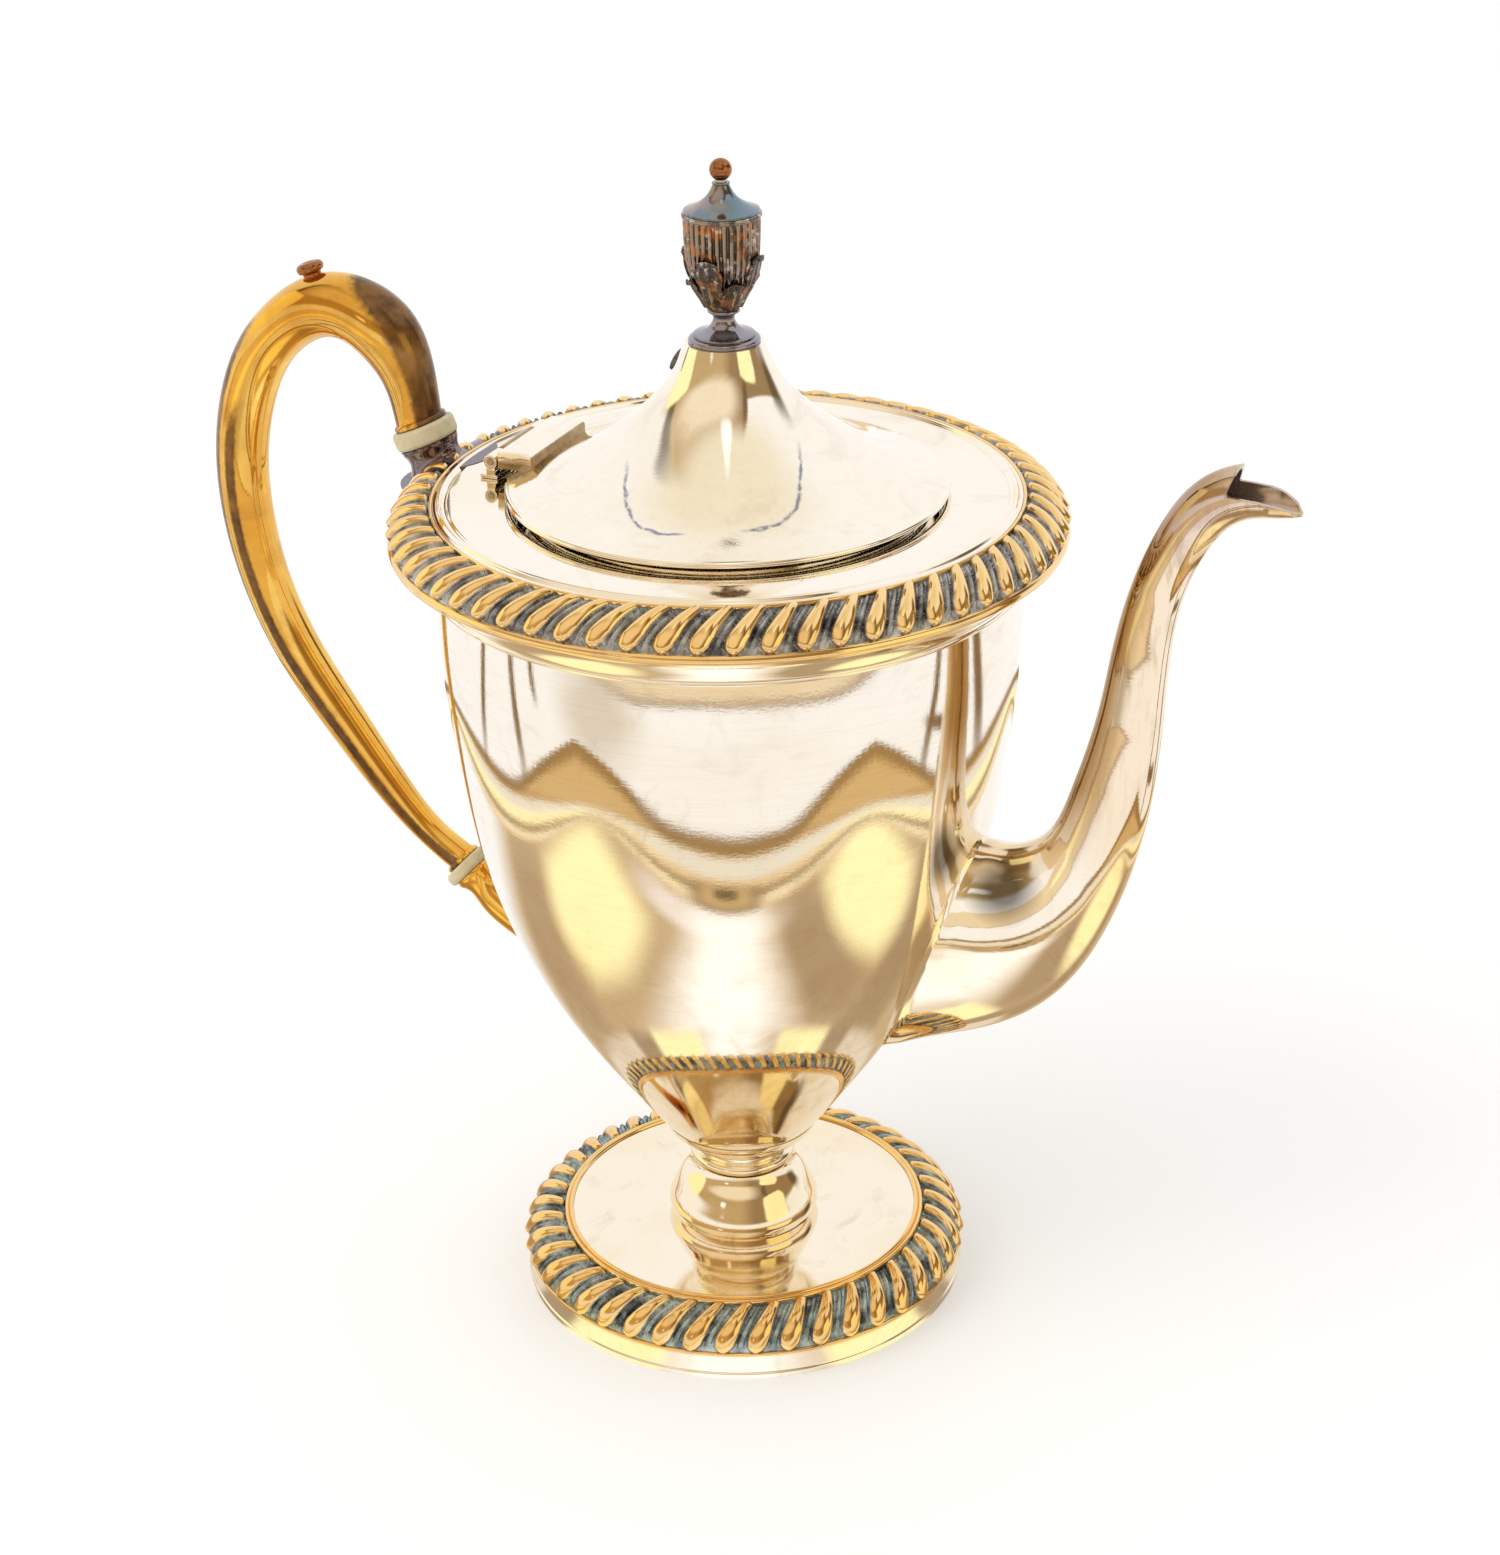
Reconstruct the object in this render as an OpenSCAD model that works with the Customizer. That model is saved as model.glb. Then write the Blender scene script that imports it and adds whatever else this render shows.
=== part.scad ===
// Pedestal coffee pot with a gadrooned rim and foot, a swan-neck spout,
// a hinged bell lid and an insulated hollow handle.
// Millimetres, +Z up. The origin is the centre of the face that the foot rests on.
// The spout points along +X and the handle along -X.

/* [Body] */
// Outer radius of the body under the rim
body_r = 63.6; // [62:0.1:65]
// Height of the ridge where the straight body meets the cove under the rim
body_top = 176.5; // [174:0.1:178]
// Height of the bottom of the vase
body_bottom = 36.4; // [36:0.1:38]
// Thickness of the spun sheet
sheet = 0.9; // [0.7:0.1:1.2]
// Number of strainer holes in each row, from the middle row outwards
strainer_row = 5; // [3:1:5]
// Radius of one strainer hole
strainer_r = 1.5; // [1:0.1:1.7]

/* [Rim] */
// Outer radius of the rolled lip of the rim
rim_r = 72.9; // [72:0.1:74]
// Height of the underside of the lip
rim_z = 184; // [183:0.1:185]
// Height of the flat deck between rim and lid
deck_z = 192.9; // [192:0.1:193.2]
// Number of lobes round the rim
rim_lobes = 64; // [48:1:72]

/* [Foot] */
// Outer radius of the foot skirt
foot_r = 51.1; // [50:0.1:53]
// Height of the foot skirt
skirt_h = 5.9; // [5:0.1:7]
// Outer radius of the mirror-flat plate inside the foot border
plate_r = 40.1; // [39:0.1:41]
// Height of the top of that plate at its edge
plate_z = 14.4; // [14:0.1:15]
// Number of lobes round the foot
foot_lobes = 43; // [36:1:50]

/* [Stem] */
// Widest radius of the knop that stands on the foot plate
knop_r = 17.4; // [16:0.1:18.5]
// Height of the top of the knop
knop_top = 27.6; // [26:0.1:28]
// Narrowest radius of the neck above the knop
neck_r = 10.6; // [10:0.1:11.5]

/* [Spout] */
// Half width of the spout where it joins the body
spout_w = 12.3; // [11:0.1:13]
// Half width of the spout's straight upper run
spout_tube = 5.5; // [5:0.1:6]
// Reach of the lip from the pot's axis
lip_x = 124.8; // [124:0.1:126]
// Height at which the pouring lip is cut open
lip_z = 208.6; // [207.5:0.1:209.2]

/* [Handle] */
// Widest half width of the grip, at its shoulder
grip_w = 7.4; // [6.8:0.1:7.6]
// Radius of the upper insulator
upper_ins_r = 7.2; // [6.6:0.1:7.4]
// Thickness of the upper insulator
upper_ins_t = 4.2; // [3.5:0.1:4.5]
// Radius of the lower insulator
lower_ins_r = 6.2; // [5.6:0.1:6.6]
// Thickness of the lower insulator
lower_ins_t = 2.9; // [2.5:0.1:3.2]

/* [Lid] */
// Outer radius of the lid
lid_r = 47.5; // [47:0.1:48]
// Height of the lid's lower edge when it is shut
lid_z = 193.9; // [193.6:0.1:194.2]
// Radius of the small flat at the top of the lid
lid_top_r = 8.4; // [8:0.1:9]
// Height of that flat
lid_top_z = 226.3; // [225:0.1:227]
// Radius of the lid's inner flange
bezel_r = 42.1; // [41.5:0.1:42.3]
// Radius of the vent hole in the lid
vent_r = 2.4; // [1.5:0.1:2.6]

/* [Hinge] */
// Distance of the hinge axis behind the pot's axis
hinge_x = 50.5; // [50.3:0.1:51]
// Height of the hinge axis
hinge_z = 196.8; // [196.5:0.1:197.2]
// Half length of the hinge barrel
hinge_half = 12.4; // [11:0.1:13]
// Radius of the hinge barrel
knuckle_r = 1.6; // [1.5:0.05:1.65]
// Radius of the hinge pin
pin_r = 0.75; // [0.6:0.05:0.8]

/* [Finial] */
// Overall height of the pot, to the top of the ball
pot_h = 265; // [264:0.5:267]
// Radius of the ball
ball_r = 2.36; // [2.2:0.02:2.6]
// Radius of the urn's rim
urn_r = 8.4; // [8:0.1:8.8]
// Number of flutes round the urn
flutes = 32; // [16:1:34]
// Radius of the threaded stud that holds the finial
stud_r = 1.2; // [1:0.05:1.4]

/* [Hidden] */
$fn = 96;

body_h = body_top - body_bottom;
gap = 0.05;                       // clearance between pieces soldered together
scribe = 0.12;                    // clearance of the pieces that are fitted to the vase
run_fit = 0.05;                   // radial clearance of the hinge pin
hole_pitch = 2 * strainer_r + 1.6;

silver = [0.86, 0.76, 0.60];
tarnished = [0.55, 0.47, 0.42];
amber = [0.78, 0.56, 0.28];
ivory = [0.90, 0.86, 0.74];
steel = [0.62, 0.62, 0.64];

// Catmull-Rom curve through the points p, with n steps in each span.
function span(a, b, c, d, t) =
    0.5 * (2 * b + (c - a) * t + (2 * a - 5 * b + 4 * c - d) * t * t
        + (3 * b - a - 3 * c + d) * t * t * t);
function curve(p, n) = concat(
    [for (i = [0:len(p) - 2]) for (k = [0:n - 1])
        span(p[max(i - 1, 0)], p[i], p[i + 1], p[min(i + 2, len(p) - 1)], k / n)],
    [p[len(p) - 1]]);

// Each point of the open outline p moved by t to its right.
function heading(p, i) =
    let (d = p[min(i + 1, len(p) - 1)] - p[max(i - 1, 0)]) d / norm(d);
function shifted(p, t) =
    [for (i = [0:len(p) - 1]) let (d = heading(p, i)) p[i] + t * [d.y, -d.x]];
function reversed(p) = [for (i = [len(p) - 1:-1:0]) p[i]];
// A band of thickness t on the right of the open outline p.
function band(p, t) = concat(p, reversed(shifted(p, t)));
// An arc from a to b that rises by s to the left of the line between them.
function arc(a, b, s, n) = [for (i = [0:n]) let (u = i / n, d = b - a)
    a + d * u + 4 * s * u * (1 - u) * [-d.y, d.x] / norm(d)];

// The vase: height as a share of body_h, radius as a share of body_r.
vase = curve([for (q = [[0, 0.245], [0.041, 0.314], [0.096, 0.406], [0.175, 0.525],
        [0.291, 0.676], [0.40, 0.803], [0.497, 0.869], [0.602, 0.9135],
        [0.707, 0.948], [0.807, 0.976], [0.904, 0.995], [1, 1]])
    [body_r * q[1], body_bottom + body_h * q[0]]], 4);
function vase_r(z) = lookup(z, [for (q = vase) [q.y, q.x]]);

// The bell of the lid, from its edge up to the small flat.
bell = curve([[lid_r - 0.4, lid_z + 1.2], [43, 196.5], [36, 199], [29.7, 202.5],
    [23.4, 207], [16.2, 213], [11.1, 220], [lid_top_r, lid_top_z]], 5);

// A tube with its own wall: matching lists of outer and inner rings of points.
module tube(outer, inner) {
    rings = concat(outer, reversed(inner));
    m = len(outer[0]);
    n = len(rings);
    points = [for (r = rings) for (q = r) q];
    faces = [for (i = [0:n - 1]) for (k = [0:m - 1])
        let (a = i * m, b = ((i + 1) % n) * m, k2 = (k + 1) % m)
        for (f = [[a + k, a + k2, b + k2], [a + k, b + k2, b + k]]) f];
    polyhedron(points, faces, convexity = 10);
}
// A ring in the plane of the XZ vector a and the Y axis, centred on c.
function ring(c, a, w, pinch, m) = [for (k = [0:m - 1]) let (t = 360 * k / m)
    [c.x - a.x * cos(t), w * sin(t) * (1 - pinch * cos(t)), c.y - a.y * cos(t)]];
// The same ring slid along X until it lies on the vase, on side s of the pot.
function on_vase(r, s, lift) = [for (q = r)
    [s * sqrt(pow(vase_r(q.z) + lift, 2) - q.y * q.y), q.y, q.z]];
module turned(p) { rotate_extrude() polygon(p); }
// Turns a piece drawn along +Z to stand at (x, z), leaning by a degrees toward +X.
module lean(x, z, a) { translate([x, 0, z]) rotate([0, a, 0]) children(); }

// ---- Body -------------------------------------------------------------------

module body_shell() {
    inside = [for (q = shifted(vase, -sheet)) if (q.y > body_bottom + sheet) q];
    color(silver) difference() {
        turned(concat([[0, body_bottom]], vase, [[body_r, deck_z - sheet - gap],
            [body_r - sheet, deck_z - sheet - gap]], reversed(inside),
            [[0, body_bottom + sheet]]));
        for (row = [-3:3]) {
            count = strainer_row - floor(abs(row) / 2);
            for (k = [0:count - 1])
                translate([30, (k - (count - 1) / 2) * hole_pitch, 97 + row * hole_pitch])
                    rotate([0, 90, 0]) cylinder(r = strainer_r, h = 40, $fn = 24);
        }
    }
}

module rim_cove() {
    cove = concat([[body_r + gap, body_top - 0.9], [body_r + 0.9, body_top - 0.5],
        [body_r + 1, body_top + 0.4]],
        arc([body_r + 1.2, body_top + 0.9], [rim_r - 0.9, rim_z - 0.1], 1.6, 10));
    color(silver) turned(concat(cove, [[rim_r - 1.8, rim_z - 0.1]],
        reversed(arc([body_r + 1, body_top + 2.2], [rim_r - 2.0, rim_z - 0.3], 1.6, 8)),
        [[body_r + gap, body_top + 2.2]]));
}

rim_in = 62.9;                    // inner radius of the rim's border
rim_crown = 2.3;                  // rise of that border above the line between its edges

// Gadroon border: a crowned ring with slanting furrows cut between its lobes.
module gadroon(r0, z0, r1, z1, crown, lobes, furrow) {
    mid = [(r0 + r1) / 2, (z0 + z1) / 2];
    fall = atan2(z0 - z1, r1 - r0);
    reach = norm([r1 - r0, z1 - z0]);
    top = mid + (crown + 0.4 * furrow) * [sin(fall), cos(fall)];
    for (i = [0:lobes - 1]) rotate([0, 0, 360 * (i + 0.5) / lobes])
        translate([top.x, 0, top.y]) rotate([0, fall, 0]) rotate([0, 0, -25])
            rotate([0, 90, 0]) cylinder(r = furrow, h = 0.9 * reach, center = true, $fn = 16);
}

module rim_border() {
    // The inner edge lies on top of the body's wall, against the deck.
    outline = concat([[rim_in, deck_z - sheet]],
        arc([rim_in, deck_z - 0.4], [rim_r - 0.9, rim_z + 2], rim_crown, 12),
        [[rim_r, rim_z + 1.2], [rim_r, rim_z + 0.5], [rim_r - 0.5, rim_z]],
        [[rim_r - 2.2, rim_z], [body_r + gap, deck_z - 4.5], [body_r + gap, deck_z - sheet]]);
    color(amber) difference() {
        turned(outline);
        gadroon(rim_in, deck_z - 0.4, rim_r - 0.9, rim_z + 2, rim_crown, rim_lobes, 1.1);
    }
}

module shoulder_deck() {
    ridge = 0.5;
    top = [[43.9, deck_z], [59.6, deck_z], [60.0, deck_z - 0.3], [60.6, deck_z - 0.3],
        [61.0, deck_z + ridge], [61.7, deck_z + ridge], [62.1, deck_z - 0.2], [62.8, deck_z - 0.2]];
    color(silver) turned(concat(top, [[62.8, deck_z - sheet], [43.9, deck_z - sheet]]));
}

module lid_seat_collar() {
    color(silver) turned([[43.05, deck_z - 6.4], [43.85, deck_z - 6.4],
        [43.85, deck_z + 0.4], [43.45, deck_z + 0.6], [43.05, deck_z + 0.4]]);
}

// ---- Stem and foot ------------------------------------------------------------

module stem_neck() {
    collar_top = body_bottom + 2.6;
    seat = vase_r(collar_top) + gap;
    color(silver) turned([[neck_r - 1.2, knop_top + 0.05], [neck_r + 0.2, knop_top + 0.05],
        [neck_r + 1.1, knop_top + 0.4], [neck_r + 1.4, knop_top + 1.4],
        [neck_r + 1.0, knop_top + 2.5], [neck_r + 0.2, knop_top + 3.2],
        [neck_r, knop_top + 4.4], [neck_r + 0.5, knop_top + 6.1],
        [neck_r + 2.4, body_bottom - 1.2], [neck_r + 3.6, body_bottom - 0.6],
        [vase_r(body_bottom) + 0.9, body_bottom + 0.6], [seat + 0.7, collar_top - 0.5],
        [seat, collar_top], [vase_r(body_bottom) + gap, body_bottom],
        [neck_r - 1.2, body_bottom - gap]]);
}

module stem_knop() {
    dome = curve([[knop_r - 0.9, plate_z - 0.8], [knop_r, 16.6], [knop_r - 1.4, 20.2],
        [13.9, 23.9], [neck_r + 0.9, knop_top]], 5);
    color(silver) turned(concat(dome, [[neck_r - 1.2, knop_top]],
        reversed(shifted(dome, -1.1))));
}

module foot_plate() {
    top = arc([5, plate_z - 1.1], [plate_r, plate_z], -0.15, 8);
    color(silver) turned(band(top, sheet));
}

module foot_border() {
    bead = 0.55;
    outline = concat([[plate_r + gap, plate_z - 1.2], [plate_r + gap, plate_z + 0.2]],
        arc([plate_r + 0.1, plate_z + 0.2], [plate_r + 2 * bead, plate_z + 0.2], bead, 4),
        arc([plate_r + 2 * bead, plate_z], [plate_r + 4 * bead, plate_z - 0.3], bead, 4),
        arc([plate_r + 4 * bead + 0.1, plate_z - 0.6], [foot_r - 0.2, skirt_h + 0.5], 3.0, 14),
        [[foot_r, skirt_h + gap], [foot_r - 2.5, skirt_h + gap]],
        arc([foot_r - 3, skirt_h + 0.4], [plate_r + 3, plate_z - 3], -1.8, 6));
    color(amber) difference() {
        turned(outline);
        gadroon(plate_r + 2.3, plate_z - 0.6, foot_r - 0.2, skirt_h + 0.5, 3.0, foot_lobes, 1.3);
    }
}

module foot_skirt() {
    color(silver) turned([[foot_r - 1.6, 0], [foot_r, 0], [foot_r, 0.9], [foot_r - 0.4, 1.4],
        [foot_r - 0.4, skirt_h - 0.7], [foot_r, skirt_h], [foot_r - 1.6, skirt_h]]);
}

// ---- Spout ----------------------------------------------------------------------

// Pairs of points on the under and upper outlines, with the half width and pinch.
spout_stations = [
    [[38.1, 65.6], [59.4, 120.5], spout_w, 0.2],
    [[46.5, 69.6], [61.5, 120.6], spout_w - 0.2, 0.18],
    [[56.0, 73.4], [64.8, 120.7], spout_w - 0.6, 0.14],
    [[66.0, 78.4], [68.5, 121.9], spout_w - 1.2, 0.10],
    [[75.0, 85.6], [72.0, 124.2], spout_w - 2.0, 0.06],
    [[83.0, 96.3], [74.8, 127.6], spout_w - 2.9, 0.02],
    [[88.6, 108.0], [77.0, 132.2], spout_w - 3.7, 0],
    [[93.0, 121.0], [79.2, 138.6], spout_w - 4.4, 0],
    [[96.2, 137.2], [81.8, 147.0], spout_w - 5.2, 0],
    [[97.8, 154.0], [84.4, 157.5], spout_tube + 0.8, 0],
    [[99.0, 170.5], [86.7, 170.5], spout_tube + 0.5, 0],
    [[101.3, 183.8], [90.6, 186.3], spout_tube - 0.1, 0],
    [[105.3, 193.7], [95.6, 198.6], spout_tube - 0.1, 0],
    [[109.4, 199.6], [102.6, 208.8], spout_tube, 0],
    [[114.0, 202.7], [110.6, 213.5], spout_tube + 0.1, 0],
    [[119.0, 203.8], [118.2, 214.5], spout_tube, 0],
    [[123.2, 204.3], [123.0, 213.5], spout_tube - 1.6, 0],
    [[lip_x, 204.7], [lip_x, 211.5], 1.2, 0]];

module spout() {
    m = 28;
    steps = 3;
    under = curve([for (q = spout_stations) q[0]], steps);
    upper = curve([for (q = spout_stations) q[1]], steps);
    shape = curve([for (q = spout_stations) [q[2], q[3]]], steps);
    function section(i, t) = let (c = (under[i] + upper[i]) / 2, a = (upper[i] - under[i]) / 2)
        ring(c, a * (1 - t / norm(a)), max(shape[i].x - t, 0.4), shape[i].y, m);
    n = len(under);
    outer = [for (i = [0:n - 1]) i == 0 ? on_vase(section(0, 0), 1, scribe) : section(i, 0)];
    inner = [for (i = [0:n - 1]) i == 0 ? on_vase(section(0, sheet), 1, scribe) : section(i, sheet)];
    color(silver) difference() {
        tube(outer, inner);
        translate([0, 10, 0]) rotate([90, 0, 0]) linear_extrude(20)
            polygon([[111.2, 225], [110.6, 210.5], [112.4, lip_z + 0.3], [118, lip_z + 0.1],
                [122.5, lip_z - 0.5], [130, lip_z - 1.8], [130, 225]]);
    }
}

// ---- Handle ---------------------------------------------------------------------

// Middle of the grip and its half width, from the upper insulator to the lower.
grip_stations = [
    [-73.9, 199.4, 5.1], [-75.6, 205.0, 5.5], [-77.4, 211.5, 6.3], [-81.6, 218.3, grip_w],
    [-88.4, 222.6, grip_w], [-95.6, 223.3, grip_w - 0.2], [-105.0, 219.1, 6.6],
    [-113.2, 210.8, 6.3], [-118.9, 198.8, 6.2], [-121.8, 184.0, 6.0], [-121.3, 169.0, 5.8],
    [-117.6, 153.0, 5.5], [-110.8, 138.2, 5.3], [-100.4, 123.1, 4.9],
    [-88.0, 106.8, 4.1], [-77.6, 96.2, 3.5], [-70.8, 92.1, 3.6]];
upper_lean = -22.6;               // tilt of the upper insulator
upper_seat = [-72.6, 194.6];      // middle of its lower face
lower_lean = 131.7;               // tilt of the lower insulator, pointing at the body
lower_seat = [-70.1, 90.9];       // middle of its upper face
upper_spigot = 2.7;
lower_spigot = 1.9;
dowel_r = 0.6;

// Rings across the path p; each point is (x, z, half width).
function path_rings(p, t, m) = [for (i = [0:len(p) - 1])
    let (d = p[min(i + 1, len(p) - 1)] - p[max(i - 1, 0)], h = norm([d.x, d.y]))
    ring([p[i].x, p[i].y], (p[i].z - t) * [-d.y, d.x] / h, p[i].z - t, 0, m)];

module across(x, z, half) {
    translate([x, 0, z]) rotate([90, 0, 0]) cylinder(r = dowel_r, h = 2 * half, center = true, $fn = 24);
}
function along(seat, a, d) = [seat.x + d * sin(a), seat.y + d * cos(a)];
upper_dowels = [for (d = [-2.6, upper_ins_t + 2.6]) along(upper_seat, upper_lean, d)];
lower_dowels = [for (d = [-2.4, lower_ins_t + 2.6]) along(lower_seat, lower_lean, d)];
module dowels(extra) {
    for (q = upper_dowels) across(q.x, q.y, 4.6 + extra);
    for (q = lower_dowels) across(q.x, q.y, 3.3 + extra);
}

module handle_grip() {
    p = curve(grip_stations, 3);
    color(amber) difference() {
        tube(path_rings(p, 0, 24), path_rings(p, 1.2, 24));
        dowels(4);
        // The ends are faced square to the insulators.
        lean(upper_seat.x, upper_seat.y, upper_lean)
            translate([0, 0, upper_ins_t + gap - 10]) cylinder(r = 12, h = 10);
        lean(lower_seat.x, lower_seat.y, lower_lean)
            translate([0, 0, -gap]) cylinder(r = 9, h = 10);
    }
}

// A small button on a short neck, saddled over the top of the grip.
module thumb_rest() {
    grip = 7.15;
    color(amber) lean(-99.3, 229.6, -18) difference() {
        turned([[0, -0.8], [2.1, -0.8], [2.1, 0.7], [2.9, 1.1], [3.15, 1.9], [2.8, 2.6],
            [1.8, 3], [0, 3.1]]);
        translate([-6, 0, -grip]) rotate([0, 90, 0]) cylinder(r = grip + gap, h = 12);
    }
}

module upper_insulator() {
    r = upper_ins_r;
    t = upper_ins_t;
    color(ivory) difference() {
        lean(upper_seat.x, upper_seat.y, upper_lean)
            turned([[0, -4.6], [upper_spigot, -4.6], [upper_spigot, 0], [r - 0.5, 0], [r, 0.6],
                [r, t - 0.6], [r - 0.5, t], [upper_spigot, t], [upper_spigot, t + 4.6], [0, t + 4.6]]);
        dowels(4);
    }
}

module lower_insulator() {
    r = lower_ins_r;
    t = lower_ins_t;
    color(ivory) difference() {
        lean(lower_seat.x, lower_seat.y, lower_lean)
            turned([[0, -4.4], [lower_spigot, -4.4], [lower_spigot, 0], [r - 0.4, 0], [r, 0.5],
                [r, t - 0.5], [r - 0.4, t], [lower_spigot, t], [lower_spigot, t + 4.4], [0, t + 4.4]]);
        dowels(4);
    }
}

module upper_socket() {
    flare = curve([[11.5, -13], [9.4, -9.6], [7.0, -6.2], [5.9, -3.4], [6.0, -1.4]], 4);
    color(tarnished) difference() {
        lean(upper_seat.x, upper_seat.y, upper_lean)
            turned(concat(flare, [[6.7, -0.9], [6.7, -gap], [upper_spigot + gap, -gap],
                [upper_spigot + gap, -4.7], [4.4, -5.2], [6.2, -8], [8.6, -13]]));
        dowels(4);
        // The base is scribed to the rim border and deck below it.
        turned(concat([[40, 170], [40, deck_z + 0.6], [rim_in, deck_z + 0.6]],
            arc([rim_in, deck_z - 0.35], [rim_r - 0.85, rim_z + 2.05], rim_crown + gap, 12),
            [[rim_r + 0.05, rim_z + 1.3], [90, rim_z + 1.3], [90, 170]]));
    }
}

module lower_socket() {
    start = along(lower_seat, lower_lean, lower_ins_t);
    next = along(lower_seat, lower_lean, lower_ins_t + 1.4);
    p = curve([[start.x, start.y, 5.3], [next.x, next.y, 4.9], [-62.6, 83.6, 4.2],
        [-56.2, 79.0, 4.4], [-49.8, 76.4, 5.1]], 2);
    m = 20;
    foot = [[-38, 68.3], [-47, 82.3]];
    base = ring((foot[0] + foot[1]) / 2, (foot[0] - foot[1]) / 2, 6.6, 0, m);
    bore = ring((foot[0] + foot[1]) / 2, 0.82 * (foot[0] - foot[1]) / 2, 5.4, 0, m);
    color(silver) difference() {
        tube(concat(path_rings(p, 0, m), [on_vase(base, -1, scribe)]),
            concat(path_rings(p, 1.1, m), [on_vase(bore, -1, scribe)]));
        dowels(4);
        lean(lower_seat.x, lower_seat.y, lower_lean)
            translate([0, 0, lower_ins_t + gap - 10]) cylinder(r = 9, h = 10);
    }
}

module handle_pins() { color(steel) dowels(0); }

// ---- Hinge ----------------------------------------------------------------------

leaf_half = hinge_half - 5.4;     // half length of the lid's own knuckle

// A rod on the hinge axis, from -half to half.
module hinge_rod(r, half) {
    translate([-hinge_x, 0, hinge_z]) rotate([90, 0, 0])
        cylinder(r = r, h = 2 * half, center = true, $fn = 48);
}

module hinge_bracket() {
    long = hinge_half - leaf_half - 0.3;
    color(silver) {
        translate([-hinge_x - 2.6, -hinge_half, deck_z + gap]) cube([4.2, 2 * hinge_half, 0.9]);
        for (s = [-1, 1]) translate([0, s * (hinge_half - long / 2), 0]) difference() {
            union() {
                hinge_rod(knuckle_r, long / 2);
                translate([-hinge_x - 1.2, -long / 2, deck_z + 0.5])
                    cube([2.4, long, hinge_z - deck_z - 0.5]);
            }
            hinge_rod(pin_r + 0.01, long);
        }
    }
}

module hinge_pin() { color(steel) hinge_rod(pin_r, hinge_half + 0.2); }

module lid_hinge_leaf() {
    top = hinge_z + 2.7;
    back = -hinge_x + knuckle_r + 0.3;
    color(silver) difference() {
        union() {
            translate([0, hinge_half, 0]) rotate([90, 0, 0]) linear_extrude(2 * hinge_half)
                polygon([[back, hinge_z - 1.1], [back, top - 0.4], [back + 0.4, top],
                    [back + 4.6, top + 0.3], [back + 7.6, top + 0.1], [back + 8.6, top - 0.7],
                    [back + 8.6, hinge_z - 1.1]]);
            translate([-hinge_x, -leaf_half, hinge_z - 0.7])
                cube([hinge_x + back + 0.5, 2 * leaf_half, 1.9]);
            hinge_rod(knuckle_r, leaf_half);
        }
        hinge_rod(pin_r + run_fit, hinge_half + 1);
        // The underside is scribed to the lid.
        turned(concat([[0, lid_z - 3], [lid_r + gap, lid_z - 3], [lid_r + gap, lid_z + 1.4]],
            shifted(bell, gap), [[0, lid_top_z]]));
    }
}

// ---- Lid ------------------------------------------------------------------------

module lid_shell() {
    inner = [for (q = shifted(bell, -sheet)) if (q.y < lid_top_z - sheet) q];
    color(silver) difference() {
        turned(concat(bell, [[stud_r + 0.1, lid_top_z], [stud_r + 0.1, lid_top_z - sheet],
            [lid_top_r - 1.4, lid_top_z - sheet]], reversed(inner)));
        lean(-9, 220, -65) cylinder(r = vent_r, h = 8, $fn = 32);
        edge_ring(bead_r + gap);
    }
}

module vent_ferrule() {
    color(silver) lean(-9, 220, -65) translate([0, 0, 0.9]) difference() {
        cylinder(r = vent_r - gap, h = 2, $fn = 32);
        translate([0, 0, -1]) cylinder(r = vent_r - 0.5, h = 4, $fn = 32);
    }
}

// A ring of round wire under the edge of the lid.
bead_r = 0.75;
module edge_ring(r) {
    translate([0, 0, lid_z + bead_r]) rotate_extrude()
        translate([lid_r - bead_r, 0]) circle(r = r, $fn = 24);
}
module lid_edge_bead() { color(silver) edge_ring(bead_r); }

module lid_bezel() {
    flare = 0.5;
    color(silver) turned([[bezel_r - 0.8, lid_z - 5.6], [bezel_r, lid_z - 5.6],
        [bezel_r, lid_z + 1.2], [bezel_r + flare, 195.6], [bezel_r - 0.8 + flare, 195.8],
        [bezel_r - 0.8, lid_z + 1.2]]);
}

// ---- Finial ---------------------------------------------------------------------

stud_bore = stud_r + 0.05;
base_z = lid_top_z + gap;
urn_z = 233.3;
cap_z = 254;
ball_z = pot_h - ball_r;

module finial_base() {
    color(tarnished) turned(concat([[stud_bore, base_z], [7.6, base_z], [7.6, base_z + 0.9],
        [7.1, base_z + 1.1], [6.9, base_z + 1.7]],
        curve([[6.4, base_z + 2], [3.9, 229], [2.6, 230.6], [2.6, 232], [3.0, 232.5]], 3),
        [[3.3, 232.8], [3.3, urn_z - gap], [stud_bore, urn_z - gap]]));
}

module finial_urn() {
    bowl = curve([[3.2, urn_z], [4.7, 236.1], [6.2, 239], [7.4, 242.4], [7.8, 246], [7.9, 251.8]], 4);
    color(tarnished) difference() {
        turned(concat([[stud_bore, urn_z]], bowl, [[urn_r, 252.3], [urn_r, 253.6],
            [urn_r - 0.4, cap_z - gap], [stud_bore, cap_z - gap]]));
        for (i = [0:flutes - 1]) rotate([0, 0, 360 * i / flutes])
            translate([8.6, 0, 245]) cylinder(r = 1.0, h = 6.6, $fn = 20);
    }
}

// Four acanthus leaves hugging the bowl, with their tips curling outward.
module finial_leaves() {
    leaf_turn = 44;
    blade = curve([[3.9, 234.3], [5.5, 236.9], [7.0, 239.6], [7.95, 242.6], [8.25, 244.6],
        [8.8, 245.3]], 3);
    color(tarnished) for (i = [0:3]) rotate([0, 0, 90 * i - leaf_turn / 2])
        rotate_extrude(angle = leaf_turn) polygon(band(blade, 0.7));
}

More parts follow.
